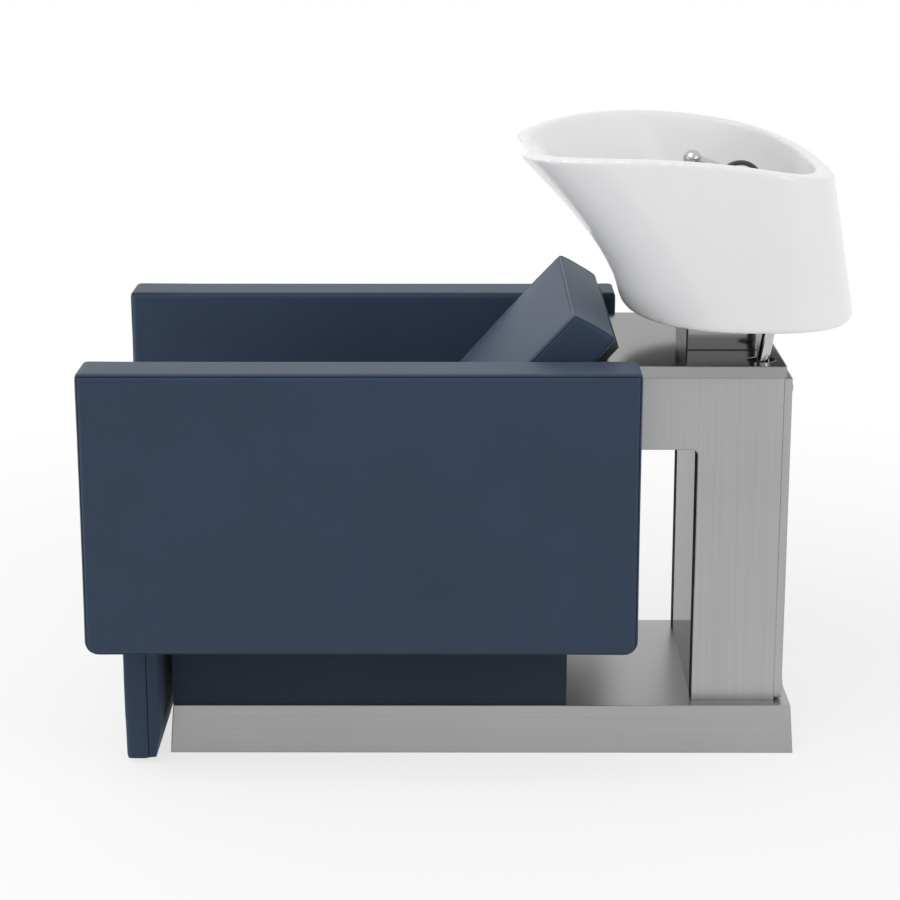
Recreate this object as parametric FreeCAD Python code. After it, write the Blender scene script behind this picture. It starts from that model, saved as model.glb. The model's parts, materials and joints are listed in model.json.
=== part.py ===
"""Salon backwash unit: a padded chair, a stainless column and a tilting ceramic basin.

Millimetres. +Z is up and the floor is Z = 0. X runs along the unit, from the leg rest (-X) to the
basin (+X). Y is across it. The origin is on the floor, below the centre of the unit's outline.
"""

import FreeCAD, Part
import math
import os

V = FreeCAD.Vector
X_AXIS, Y_AXIS, Z_AXIS = V(1, 0, 0), V(0, 1, 0), V(0, 0, 1)

# Clearances
CLEAR = 0.3        # between pieces that only lie beside each other
RUN_FIT = 0.05     # radial, between a pin and its bore
BOLT_FIT = 0.3     # radial, between a bolt and its hole
HOSE_FIT = 1.0     # radial, between a hose and what it slides through

# Base
FRONT_X = -565.0          # front of the arms
BASE_SETBACK = 107.5      # front of the base behind the front of the arms
BASE_WIDTH = 405.0
BASE_HEIGHT = 75.0
BASE_FLARE = 5.0          # how far the tray's foot stands out past its top, each side
BASE_SHEET = 2.0
FLOOR_GAP = 1.0           # tray's lower edge above the floor
BASE_RAIL_Y = 150.0       # centre of each long rail
BASE_TUBE_W = 40.0
BASE_TUBE_H = 46.0
BASE_TUBE_WALL = 3.0
BASE_CROSS_INSET = 90.0   # first and last cross tubes from the tray's ends
FOOT_R = 20.0
FOOT_PAD_H = 9.0
FOOT_STUD_R = 5.0
FOOT_STUD_L = 36.0
FOOT_INSET = 60.0
LOCKNUT_R = 9.0
LOCKNUT_H = 8.0
LUG_LENGTH = 60.0
LUG_WIDTH = 42.0
LUG_THICK = 6.0
LUG_HOLE_R = 5.5
LUG_INSET = 160.0         # floor bolts from the tray's ends

# Chair
PLINTH_LENGTH = 595.0
PLINTH_WIDTH = 400.0
PLINTH_HEIGHT = 133.0
PLINTH_WALL = 18.0
ARM_LENGTH = 798.0
ARM_THICK = 93.0
ARM_HEIGHT = 416.0
ARM_DROP = 2.5            # arms' underside below the seat frame's
ARM_ROUND = 6.0           # every edge of an arm
ARM_FOOT_ROUND = 20.0     # its two lower corners, seen from the side
SEAT_WIDTH = 514.0        # between the arms
RAIL_HEIGHT = 115.0
RAIL_THICK = 27.0
FRAME_REAR_GAP = 33.0     # seat frame's rear face ahead of the arms' rear ends
BOARD_THICK = 15.0
CUSHION_SIDE_GAP = 4.0    # seat cushion clear of each arm
CUSHION_THICK = 92.0
CUSHION_CROWN = 10.0
CUSHION_LENGTH = 490.0
CUSHION_SETBACK = 6.0
ARM_BOLT_R = 4.0
ARM_BOLT_HEAD_R = 8.0
ARM_BOLT_HEAD_H = 5.0
ARM_BOLT_REACH = 40.0     # how far an arm bolt goes into the arm
ARM_BOLT_INSET = 110.0    # first and last arm bolts from the seat frame's ends
BACK_SIDE_GAP = 7.0       # seat board and back clear of each arm
BACK_SLOPE = 48.0         # degrees from horizontal
BACK_RISE = 478.0         # front top edge of the back cushion above the seat frame's underside
BACK_FOOT_REACH = 290.23  # back cushion's lower front edge ahead of the seat frame's rear
BACK_CAP_RUN, BACK_CAP_DROP = 61.0, 36.0  # sloping top of the back cushion
BACK_SEAT_GAP = 4.0
BACK_CROWN = 9.0
BACK_BOARD_THICK = 12.0
BACK_BOARD_INSET = 14.0
STRUT_THICK = 18.0
STRUT_Y = 120.0
BACK_PANEL_THICK = 18.0

# Leg rest
LEG_PAD_THICK = 43.0
LEG_BOARD_THICK = 12.0
LEG_SIDE_GAP = 7.0        # leg rest clear of the line of each arm
LEG_BOTTOM_Z = 5.0
LEG_CROWN = 4.0
LEG_FOOT_CROWN = 3.0
LEG_PULL = 1.0            # how far the cover draws the pad's ends in
LEG_BOARD_INSET = 3.0     # board's ends in from the pad's
LEG_TAPER, LEG_TAPER_RISE = 7.0, 43.0  # board's back thins towards its foot
HINGE_KNUCKLE_R = 5.5
HINGE_PIN_R = 3.0
HINGE_LEAF = 3.0
HINGE_LEAF_HEIGHT = 62.0
HINGE_HEIGHT = 7.0        # hinge axis above the seat frame's top
HINGE_KNUCKLE_L = 26.0
HINGE_Y = 160.0
HINGE_BOARD_GAP = 3.0     # top of the leg rest's board below the knuckles
HINGE_SCREW_R = 2.5
HINGE_SCREW_HEAD_R = 4.5
HINGE_SCREW_HEAD_H = 1.2
HINGE_SCREW_L = 8.0
HINGE_SCREW_PITCH = 44.0

# Column
COLUMN_GAP = 95.5         # front of the column behind the arms
COLUMN_SETBACK = 23.0     # rear of the column ahead of the rear of the base
COLUMN_DEPTH = 125.0
COLUMN_WIDTH = 356.0
COLUMN_SHEET = 2.5
PANEL_SHEET = 2.0
BEAM_BOTTOM_Z = 468.5
BEAM_LAP = 43.0           # how far the beam reaches between the arms
BEAM_CORNER_R = 9.0
LID_TOP_Z = 600.0
LID_WIDTH = 402.0
LID_SKIRT = 18.0
LID_ROUND = 3.0
RETURN_FLANGE = 24.0
DOOR_DEPTH = 12.0
DOOR_GAP = 5.0            # access door clear of the base and of the lid's skirt
DOOR_SCREW_R = 2.5
DOOR_SCREW_HEAD_R = 5.0
DOOR_SCREW_HEAD_H = 3.0
DOOR_SCREW_INSET = 18.0
POST_SIZE = 40.0
POST_Y = 105.0
POST_WALL = 3.0
FOOT_PLATE = 8.0
TOP_FRAME_PLATE = 8.0
SERVICE_HOLE_R = 62.0

# Pedestal and tilting carrier
PEDESTAL_SETBACK = 41.5   # tilt axis behind the front of the column
PEDESTAL_LENGTH = 107.0
PEDESTAL_WIDTH = 176.0
PEDESTAL_SHEET = 3.0
PEDESTAL_CHEEK_H = 62.0
PEDESTAL_END_H = 32.0
PEDESTAL_FLANGE = 26.0
PEDESTAL_BOLT_R = 4.0
PEDESTAL_BOLT_HEAD_R = 6.5
PEDESTAL_BOLT_HEAD_H = 5.0
PIVOT_HEIGHT = 45.0       # tilt axis above the lid
TILT_PIN_R = 8.0
TILT_PIN_HEAD_R = 12.0
TILT_PIN_HEAD_H = 4.0
BUSH_WALL = 3.0
EAR_THICK = 6.0
EAR_LENGTH = 50.0
WASHER_THICK = 4.0
WASHER_R = 18.0
CARRIER_THICK = 5.0
CARRIER_FRONT, CARRIER_REAR = -40.0, 42.0   # from the tilt axis
CARRIER_WIDTH = 200.0
CARRIER_WINDOW_X = 34.0   # half length of the window in the plate
CARRIER_WINDOW_Y = 50.0   # half width of the window in the plate
CARRIER_BOLT_R = 4.0
CARRIER_BOLT_HEAD_R = 7.0
CARRIER_BOLT_HEAD_H = 5.0
CARRIER_BOLT_REACH = 13.0
CARRIER_BOLT_Y = 90.0
CARRIER_BOLT_INSET = 14.0

# Basin: X from the tilt axis, Z from the top of the lid
RIM_FRONT_X, RIM_FRONT_Z = -316.0, 296.5
RIM_CREST_X, RIM_CREST_Z = -62.0, 312.5
RIM_REAR_X, RIM_REAR_Z = 156.0, 272.0
RIM_MID_X = 6.0          # where the rim is widest
RIM_WIDTH = 652.0
FOOT_FRONT_X = -149.0
FOOT_REAR_X = 194.5
FOOT_MID_X = 40.0
SKIRT_FOOT_WIDTH = 570.0
SKIRT_FOOT_Z = 65.0
BELLY = 1.5               # how full the front of the skirt is
PLAN_FRONT_POWER = 2.5    # squareness of the plan, 2 is an ellipse
PLAN_REAR_POWER = 2.75
RIM_WALL = 28.0
SKIRT_WALL = 14.0
BOWL_WALL = 18.0
DECK_Z = 190.0
DECK_EDGE_X = -20.0
BOWL_MID_X = -135.0
BOWL_FLOOR_Z = 130.0
BOWL_WIDTH = 380.0
NOTCH_DEPTH = 65.0
NOTCH_WIDTH = 200.0
BOSS_R = 14.0

# Drain
DRAIN_X = -95.0
DRAIN_HOLE_R = 23.0
DRAIN_FLANGE_R = 32.0
DRAIN_FLANGE_H = 3.0
DRAIN_TUBE_WALL = 3.0
DRAIN_TUBE_L = 38.0
DRAIN_NUT_R = 33.0
DRAIN_NUT_H = 9.0
STRAINER_H = 2.0
STRAINER_STEM = 14.0
STRAINER_HOLES = 8
STRAINER_HOLE_R = 3.0
WASTE_R = 16.0
WASTE_WALL = 2.0
WASTE_BEND_R = 26.0
WASTE_END_Z = -25.0
OUTLET_R = 20.0
OUTLET_TOP_Z = 110.0
OUTLET_END_Z = 12.0
OUTLET_WALL = 3.0
SPIGOT_LENGTH = 50.0      # free end of the outlet and of each inlet
SPIGOT_STEP = 1.5         # how far the stock above a free end stands out

# Mixer
MIXER_X, MIXER_Y = -26.0, 170.0
MIXER_FLANGE_R = 22.0
MIXER_FLANGE_H = 4.0
MIXER_R = 17.0
MIXER_H = 40.0            # body's top above the deck
MIXER_SHANK_R = 14.0
MIXER_SHANK_L = 65.0
MIXER_NUT_R = 21.0
MIXER_NUT_H = 8.0
CAP_H = 9.0
BALL_R = 14.0
BALL_LIFT = 15.0          # ball's centre above the cap
TONGUE_THICK = 7.0
TONGUE_R = 5.5
LEVER_PIN_R = 2.0
LEVER_LENGTH = 78.0
LEVER_ROOT_R = 8.5
LEVER_TIP_R = 5.0
LEVER_DROOP = 18.0        # degrees below horizontal when shut

# Shower
HOSE_R = 4.0
HOSE_Y = 115.0
# Route of the shower hose, X and Z as the basin's, from the guide's top over to the grip.
HOSE_ROUTE = (
    (11.0, 208.5), (11.0, 235.5), (30.5, 255.0), (57.5, 255.0), (77.0, 235.5), (77.0, 210.0),
)
HOSE_TAIL_END_Z = 55.0
GUIDE_WALL = 3.0
GUIDE_FLANGE_R = 12.0
GUIDE_FLANGE_H = 3.0
GUIDE_LENGTH = 40.0
GRIP_R = 10.0
GRIP_NECK_R = 6.0
SPRAY_HEAD_R = 21.0
SPRAY_HEAD_H = 26.0
SHOWER_END_Z = 112.0
SPRAY_PLATE_H = 3.0
SPRAY_PLATE_R = 18.0
SOCKET_WALL = 2.5
SOCKET_FLANGE_R = 30.0
SOCKET_FLANGE_H = 3.0
SOCKET_FLOOR = 3.0
SOCKET_DRAIN_R = 6.0

# Water supply
CONDUIT_FOOT_X, CONDUIT_Y = 53.0, -158.0
CONDUIT_R = 9.0
CONDUIT_WALL = 0.8
CONDUIT_LEAN = 10.0       # degrees towards the rear
CONDUIT_LOW_Z, CONDUIT_HIGH_Z = -22.0, 90.0
LID_HOLE_R = 21.0
LID_HOLE_X, LID_HOLE_Y = 51.0, -154.0
WATER_R = 3.7
WATER_GAP = 0.3
WATER_LEVEL_Z = 138.0
WATER_DROP = 9.0          # between the hot and the cold hose under the deck
WATER_BENDS = (28.0, 50.0, 200.0, 45.0, 55.0)
WATER_ROUTE_X = (110.0, 130.0, 118.0, 80.0)  # round the shower socket, from the tilt axis
WATER_ROUTE_IN = 30.0     # how far the turns stand in from the conduit and the mixer
WATER_FALL = (70.0, 190.0, 90.0, 45.0)  # turns inside the column, from each end
WATER_BOW = 8.0
VALVE_R = 12.0
VALVE_H = 40.0
VALVE_TOP_Z = 150.0
INLET_THREAD_R = 8.3
INLET_END_Z = 12.0
VALVE_REACH = 28.0        # valves behind the middle of the service hole
VALVE_PITCH = 80.0
BRACKET_THICK = 3.0
BRACKET_LAP = 8.0         # bracket past the edge of the service hole

# Places worked out from the sizes above
base_front = FRONT_X + BASE_SETBACK
arm_rear = FRONT_X + ARM_LENGTH
beam_front = arm_rear - BEAM_LAP
column_front = arm_rear + COLUMN_GAP
column_rear = column_front + COLUMN_DEPTH
base_rear = column_rear + COLUMN_SETBACK
base_mid = (base_front + base_rear) / 2
pedestal_x = column_front + PEDESTAL_SETBACK
tube_top = BASE_HEIGHT - BASE_SHEET
tube_bottom = tube_top - BASE_TUBE_H
seat_z = BASE_HEIGHT + PLINTH_HEIGHT
arm_low = seat_z - ARM_DROP
arm_top = arm_low + ARM_HEIGHT
seat_half = SEAT_WIDTH / 2
cushion_half = seat_half - CUSHION_SIDE_GAP
back_half = seat_half - BACK_SIDE_GAP
leg_half = seat_half - LEG_SIDE_GAP
frame_rear = arm_rear - FRAME_REAR_GAP
frame_top = seat_z + RAIL_HEIGHT
board_top = frame_top + BOARD_THICK
cushion_top = board_top + CLEAR + CUSHION_THICK
back_top = seat_z + BACK_RISE
back_foot = frame_rear - BACK_FOOT_REACH
hinge_x = base_front - HINGE_KNUCKLE_R * 2
hinge_z = frame_top + HINGE_HEIGHT
frame_front = hinge_x + HINGE_KNUCKLE_R
leg_back = hinge_x - HINGE_KNUCKLE_R + HINGE_LEAF - HINGE_LEAF / 2
leg_top = hinge_z - HINGE_KNUCKLE_R - HINGE_BOARD_GAP
column_half = COLUMN_WIDTH / 2
lid_under = LID_TOP_Z - PANEL_SHEET
frame_plate_under = lid_under - TOP_FRAME_PLATE
pivot_z = LID_TOP_Z + PIVOT_HEIGHT
rim_front_x = pedestal_x + RIM_FRONT_X
rim_crest_x = pedestal_x + RIM_CREST_X
rim_rear_x = pedestal_x + RIM_REAR_X
rim_mid_x = pedestal_x + RIM_MID_X
foot_front_x = pedestal_x + FOOT_FRONT_X
foot_rear_x = pedestal_x + FOOT_REAR_X
foot_mid_x = pedestal_x + FOOT_MID_X
deck_edge_x = pedestal_x + DECK_EDGE_X
bowl_mid_x = pedestal_x + BOWL_MID_X
drain_x = pedestal_x + DRAIN_X
mixer_x = pedestal_x + MIXER_X
conduit_foot_x = pedestal_x + CONDUIT_FOOT_X
lid_hole_x = pedestal_x + LID_HOLE_X
rim_front_z = LID_TOP_Z + RIM_FRONT_Z
rim_crest_z = LID_TOP_Z + RIM_CREST_Z
rim_rear_z = LID_TOP_Z + RIM_REAR_Z
skirt_foot_z = LID_TOP_Z + SKIRT_FOOT_Z
deck_z = LID_TOP_Z + DECK_Z
bowl_floor_z = LID_TOP_Z + BOWL_FLOOR_Z
waste_end_z = LID_TOP_Z + WASTE_END_Z
hose_tail_end_z = LID_TOP_Z + HOSE_TAIL_END_Z
shower_end_z = LID_TOP_Z + SHOWER_END_Z
conduit_low_z = LID_TOP_Z + CONDUIT_LOW_Z
conduit_high_z = LID_TOP_Z + CONDUIT_HIGH_Z
water_level_z = LID_TOP_Z + WATER_LEVEL_Z
ped_half_x = PEDESTAL_LENGTH / 2
ped_half_y = PEDESTAL_WIDTH / 2
ear_outer = ped_half_y - PEDESTAL_SHEET - WASHER_THICK - 2 * CLEAR
bowl_under = bowl_floor_z - BOWL_WALL
deck_under = deck_z - BOWL_WALL
carrier_under = bowl_under - CARRIER_THICK
hose_route = [(pedestal_x + x, LID_TOP_Z + z) for x, z in HOSE_ROUTE]
guide_x, guide_top = hose_route[0]
shower_x, grip_top = hose_route[-1]
mixer_top = deck_z + MIXER_H
ball_z = mixer_top + CLEAR + CAP_H + BALL_LIFT


def box(x0, x1, y0, y1, z0, z1):
    """A box between two corners."""
    return Part.makeBox(x1 - x0, y1 - y0, z1 - z0, V(x0, y0, z0))


def rod(radius, start, length, axis=Z_AXIS):
    """A round bar from a point along an axis."""
    return Part.makeCylinder(radius, length, V(*start), axis)


def pipe(radius, wall, start, length, axis=Z_AXIS):
    """A straight tube."""
    return rod(radius, start, length, axis).cut(rod(radius - wall, start, length, axis))


def side_profile(points, y0, y1):
    """A plate whose outline is drawn in the X-Z plane, from y0 to y1."""
    corners = [V(x, y0, z) for x, z in points]
    face = Part.Face(Part.makePolygon(corners + corners[:1]))
    return face.extrude(V(0, y1 - y0, 0))


def mirrored(shape):
    """The same piece on the other side of the unit."""
    return shape.mirror(V(0, 0, 0), Y_AXIS)


def pair(shape):
    """A piece and its twin on the other side, as two solids."""
    return Part.makeCompound([shape, mirrored(shape)])


def fused(shapes):
    """One solid from several, with their shared faces merged."""
    first, rest = shapes[0], shapes[1:]
    return first.fuse(rest).removeSplitter() if rest else first


def hollow_bar(x0, x1, y0, y1, z0, z1, wall, axis):
    """A rectangular tube along X, Y or Z."""
    inset = [wall if name != axis else 0.0 for name in "xyz"]
    inner = box(x0 + inset[0], x1 - inset[0], y0 + inset[1], y1 - inset[1], z0 + inset[2], z1 - inset[2])
    return box(x0, x1, y0, y1, z0, z1), inner


def rounded(shape, radius, keep):
    """Rounds the straight edges that the test picks."""
    edges = [edge for edge in shape.Edges if keep(edge)]
    return shape.makeFillet(radius, edges)


def runs_along(axis):
    """A test for edges that run along an axis."""
    def test(edge):
        direction = edge.lastVertex().Point - edge.firstVertex().Point
        return direction.Length > 0 and abs(direction.normalize().dot(axis)) > 0.999
    return test


def bent_path(points, radii=None):
    """A wire of straight runs joined by tangent arcs.

    Without radii each arc is as large as its two runs allow.
    """
    corners = [V(*p) for p in points]
    edges, start, used = [], corners[0], []
    for i in range(1, len(corners) - 1):
        before = corners[i] - corners[i - 1]
        after = corners[i + 1] - corners[i]
        half_turn = before.getAngle(after) / 2
        radius = 0.45 * min(before.Length, after.Length) / math.tan(half_turn)
        if radii:
            radius = radii[i - 1]
        reach = radius * math.tan(half_turn)
        before.normalize()
        after.normalize()
        enter = corners[i] - before * reach
        leave = corners[i] + after * reach
        inward = (after - before).normalize()
        middle = corners[i] + inward * (radius / math.cos(half_turn) - radius)
        edges.append(Part.LineSegment(start, enter).toShape())
        edges.append(Part.Arc(enter, middle, leave).toShape())
        start = leave
        used.append(radius)
    edges.append(Part.LineSegment(start, corners[-1]).toShape())
    return Part.Wire(edges), used


def swept(points, radius, radii=None):
    """A round bar bent along a path."""
    path, used = bent_path(points, radii)
    along = V(*points[1]) - V(*points[0])
    ring = Part.Wire(Part.makeCircle(radius, V(*points[0]), along))
    return path.makePipeShell([ring], True, False), path.Length, used


def pad_outline(corners, bulges, y):
    """A cushion's section at one place across it: lines and shallow arcs."""
    points = [V(x, y, z) for x, z in corners]
    edges = []
    for i, bulge in enumerate(bulges):
        start, end = points[i], points[(i + 1) % len(points)]
        if bulge:
            run = (end - start).normalize()
            out = run.cross(Y_AXIS)
            edges.append(Part.Arc(start, (start + end) * 0.5 + out * bulge, end).toShape())
        else:
            edges.append(Part.LineSegment(start, end).toShape())
    return Part.Wire(edges)


def drawn_in(corners, amount):
    """Corners moved towards their middle, as a cover pulls them."""
    middle_x = sum(x for x, z in corners) / len(corners)
    middle_z = sum(z for x, z in corners) / len(corners)
    return [
        (x - math.copysign(amount[0], x - middle_x), z - math.copysign(amount[1], z - middle_z))
        for x, z in corners
    ]


def cushion(corners, crowns, half_width, pull):
    """A crowned cushion, fullest in the middle, with its ends drawn in.

    Args:
        corners: the middle section's corners, clockwise seen along +Y.
        crowns: how far each side swells in the middle; 0 is flat.
        half_width: half the cushion's size across the unit.
        pull: how far the cover draws the end sections in, along X and Z.
    """
    ends = drawn_in(corners, pull)
    slight = [crown * 0.35 for crown in crowns]
    nearly = drawn_in(corners, [0.25 * p for p in pull])
    most = [crown * 0.85 for crown in crowns]
    sections = [
        pad_outline(ends, slight, -half_width),
        pad_outline(nearly, most, -half_width * 0.55),
        pad_outline(nearly, most, half_width * 0.55),
        pad_outline(ends, slight, half_width),
    ]
    return Part.makeLoft(sections, True, False)


def base_cover():
    """Folded tray that hides the base frame, open below, with a service hole under the column."""
    half = BASE_WIDTH / 2

    def tray(inset, low, high):
        wires = []
        for z in (low, high):
            grow = BASE_FLARE * (BASE_HEIGHT - z) / BASE_HEIGHT - inset
            x0, x1, y = base_front - grow, base_rear + grow, half + grow
            loop = [V(x0, -y, z), V(x1, -y, z), V(x1, y, z), V(x0, y, z), V(x0, -y, z)]
            wires.append(Part.makePolygon(loop))
        return Part.makeLoft(wires, True, True)

    skin = tray(0.0, FLOOR_GAP, BASE_HEIGHT).cut(tray(BASE_SHEET, FLOOR_GAP - 1, tube_top))
    return skin.cut(rod(SERVICE_HOLE_R, (service_x(), 0, tube_top - 1), BASE_SHEET + 2))


def service_x():
    """Middle of the hole that the pipes take through the base."""
    return (column_front + column_rear) / 2 + PANEL_SHEET


def lug_places():
    """Floor bolts, one near each corner."""
    reach = BASE_RAIL_Y - BASE_TUBE_W / 2 - LUG_WIDTH / 2
    return [(x, y) for x in (base_front + LUG_INSET, base_rear - LUG_INSET) for y in (-reach, reach)]


def foot_places():
    """Levelling feet, under the ends and the middle of each rail."""
    xs = (base_front + FOOT_INSET, base_mid, base_rear - FOOT_INSET)
    return [(x, y) for x in xs for y in (-BASE_RAIL_Y, BASE_RAIL_Y)]


def base_frame():
    """Welded tube frame with lugs for the floor bolts."""
    half = BASE_TUBE_W / 2
    x0, x1 = base_front + BASE_SHEET + CLEAR, base_rear - BASE_SHEET - CLEAR
    bars = [
        hollow_bar(x0, x1, y - half, y + half, tube_bottom, tube_top, BASE_TUBE_WALL, "x")
        for y in (-BASE_RAIL_Y, BASE_RAIL_Y)
    ]
    inner_y = BASE_RAIL_Y - half
    for x in (base_front + BASE_CROSS_INSET, base_mid, column_front - BASE_TUBE_W):
        bars.append(
            hollow_bar(x - half, x + half, -inner_y, inner_y, tube_bottom, tube_top, BASE_TUBE_WALL, "y")
        )
    lugs = [
        box(x - LUG_LENGTH / 2, x + LUG_LENGTH / 2, y - LUG_WIDTH / 2, y + LUG_WIDTH / 2,
            tube_bottom, tube_bottom + LUG_THICK)
        for x, y in lug_places()
    ]
    frame = fused([outer.cut(inner) for outer, inner in bars] + lugs)
    for x, y in lug_places():
        frame = frame.cut(rod(LUG_HOLE_R, (x, y, tube_bottom - 1), LUG_THICK + 2))
    for x, y in foot_places():
        frame = frame.cut(rod(FOOT_STUD_R + BOLT_FIT, (x, y, tube_bottom - 1), BASE_TUBE_WALL + 2))
    return frame


def levelling_feet():
    """Round pads on threaded studs."""
    feet = []
    for x, y in foot_places():
        stud = rod(FOOT_STUD_R, (x, y, FOOT_PAD_H), FOOT_STUD_L)
        feet.append(fused([rod(FOOT_R, (x, y, 0), FOOT_PAD_H), stud]))
    return Part.makeCompound(feet)


def foot_locknuts():
    """A nut on each stud, tight under the rail."""
    nuts = []
    for x, y in foot_places():
        low = tube_bottom - LOCKNUT_H
        corners = [
            V(x + LOCKNUT_R * math.cos(math.radians(a)), y + LOCKNUT_R * math.sin(math.radians(a)), low)
            for a in range(0, 361, 60)
        ]
        nut = Part.Face(Part.makePolygon(corners)).extrude(V(0, 0, LOCKNUT_H))
        nuts.append(nut.cut(rod(FOOT_STUD_R + RUN_FIT, (x, y, low - 1), LOCKNUT_H + 2)))
    return Part.makeCompound(nuts)


def seat_plinth():
    """Upholstered box under the seat, open above and below."""
    half = PLINTH_WIDTH / 2
    x0, x1 = base_front, base_front + PLINTH_LENGTH
    outer = box(x0, x1, -half, half, BASE_HEIGHT, seat_z)
    wall = PLINTH_WALL
    return outer.cut(box(x0 + wall, x1 - wall, -half + wall, half - wall, BASE_HEIGHT - 1, seat_z + 1))


def arm_bolt_places():
    """Arm bolts along one side of the seat frame."""
    x0, x1 = frame_front + ARM_BOLT_INSET, frame_rear - ARM_BOLT_INSET
    return [(x, seat_z + RAIL_HEIGHT / 2) for x in (x0, (x0 + x1) / 2, x1)]


def seat_frame():
    """Timber frame that carries the seat and holds the arms."""
    outer = box(frame_front, frame_rear, -seat_half, seat_half, seat_z, frame_top)
    inner_half = seat_half - RAIL_THICK
    inner = box(frame_front + RAIL_THICK, frame_rear - RAIL_THICK, -inner_half, inner_half,
                seat_z - 1, frame_top + 1)
    middle = base_front + PLINTH_LENGTH
    cross = box(middle - RAIL_THICK, middle, -inner_half, inner_half, seat_z, frame_top)
    frame = fused([outer.cut(inner), cross])
    for x, z in arm_bolt_places():
        frame = frame.cut(rod(ARM_BOLT_R + BOLT_FIT, (x, -seat_half - 1, z), SEAT_WIDTH + 2, Y_AXIS))
    for start, _ in hinge_screw_starts(frame_front, 1):
        frame = frame.cut(rod(HINGE_SCREW_R, start, HINGE_SCREW_L, X_AXIS))
    return frame


def seat_board():
    """Plywood under the cushion and the back."""
    return box(frame_front, frame_rear, -back_half, back_half, frame_top, board_top)


def seat_cushion():
    """Seat cushion with a crowned top and front."""
    x0 = frame_front + CUSHION_SETBACK
    x1 = x0 + CUSHION_LENGTH
    corners = [(x0, board_top + CLEAR), (x0, cushion_top - CUSHION_CROWN), (x1, cushion_top - CUSHION_CROWN),
               (x1, board_top + CLEAR)]
    return cushion(corners, [4.0, CUSHION_CROWN, 0.0, 0.0], cushion_half, (4.0, 0.0))


def arm():
    """One upholstered arm panel, on the +Y side, with blind holes for its bolts."""
    panel = box(FRONT_X, arm_rear, seat_half, seat_half + ARM_THICK, arm_low, arm_top)
    across = runs_along(Y_AXIS)
    panel = rounded(panel, ARM_FOOT_ROUND, lambda edge: across(edge) and edge.CenterOfMass.z < arm_top - 1)
    middle = seat_half + ARM_THICK / 2
    panel = rounded(panel, ARM_ROUND, lambda edge: abs(edge.CenterOfMass.y - middle) > 1
                    or edge.CenterOfMass.z > arm_top - 1)
    for x, z in arm_bolt_places():
        panel = panel.cut(rod(ARM_BOLT_R + RUN_FIT, (x, seat_half - 1, z), ARM_BOLT_REACH + 2, Y_AXIS))
    return panel


def arm_bolts():
    """Bolts from inside the seat frame into each arm."""
    bolts = []
    for x, z in arm_bolt_places():
        inside = seat_half - RAIL_THICK
        head = rod(ARM_BOLT_HEAD_R, (x, inside - ARM_BOLT_HEAD_H, z), ARM_BOLT_HEAD_H, Y_AXIS)
        shank = rod(ARM_BOLT_R, (x, inside, z), RAIL_THICK + ARM_BOLT_REACH, Y_AXIS)
        bolt = fused([head, shank])
        bolts += [bolt, mirrored(bolt)]
    return Part.makeCompound(bolts)


def back_line(z, offset):
    """X on the back's slope at a height, offset square to its front face."""
    slope = math.radians(BACK_SLOPE)
    return back_foot + (z - cushion_top) / math.tan(slope) + offset / math.sin(slope)


def back_thickness():
    """The back cushion's thickness, square to its front."""
    slope = math.radians(BACK_SLOPE)
    return BACK_CAP_RUN * math.sin(slope) + BACK_CAP_DROP * math.cos(slope)


def backrest_pad():
    """Reclined back cushion with a sloping top."""
    low = cushion_top + BACK_SEAT_GAP
    thick = back_thickness()
    top_x = back_line(back_top, 0)
    corners = [(back_line(low, 0), low), (top_x, back_top),
               (top_x + BACK_CAP_RUN, back_top - BACK_CAP_DROP), (back_line(low, thick), low)]
    return cushion(corners, [BACK_CROWN, 5.0, 0.0, 0.0], back_half, (0.0, 0.0))


def backrest_board():
    """Plywood panel behind the back cushion."""
    high = back_top - BACK_CAP_DROP - BACK_BOARD_INSET
    low = cushion_top + BACK_SEAT_GAP
    near, far = back_thickness() + CLEAR, back_thickness() + CLEAR + BACK_BOARD_THICK
    half = back_half - BACK_BOARD_INSET
    outline = [(back_line(low, near), low), (back_line(high, near), high),
               (back_line(high, far), high), (back_line(low, far), low)]
    return side_profile(outline, -half, half)


def backrest_struts():
    """Two plates that stand on the seat board and carry the back."""
    far = back_thickness() + CLEAR + BACK_BOARD_THICK
    low_z = cushion_top + BACK_SEAT_GAP + BACK_BOARD_INSET
    high_z = lid_under - PANEL_SHEET
    rear = beam_front
    outline = [(back_line(low_z, far), low_z), (back_line(high_z, far), high_z), (rear, high_z),
               (rear, board_top), (back_line(low_z, far), board_top)]
    return pair(side_profile(outline, STRUT_Y, STRUT_Y + STRUT_THICK))


def back_panel():
    """Upholstered panel that closes the chair's back, notched for the beam."""
    half = seat_half - CLEAR
    panel = box(frame_rear, frame_rear + BACK_PANEL_THICK, -half, half, seat_z, lid_under - LID_SKIRT)
    gap = column_half + CLEAR
    return panel.cut(box(frame_rear - 1, frame_rear + BACK_PANEL_THICK + 1, -gap, gap,
                         BEAM_BOTTOM_Z - CLEAR, LID_TOP_Z))


def legrest_board():
    """Board that carries the leg pad and the moving hinge leaves, thinner towards its foot."""
    half = leg_half - LEG_BOARD_INSET
    front, foot = leg_back - LEG_BOARD_THICK, LEG_BOTTOM_Z + LEG_FOOT_CROWN
    outline = [(front, foot), (front, leg_top), (leg_back, leg_top), (leg_back, foot + LEG_TAPER_RISE),
               (leg_back - LEG_TAPER, foot)]
    board = side_profile(outline, -half, half)
    for start, _ in hinge_screw_starts(leg_back, -1):
        board = board.cut(rod(HINGE_SCREW_R, start, HINGE_SCREW_L, V(-1, 0, 0)))
    return board


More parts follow.
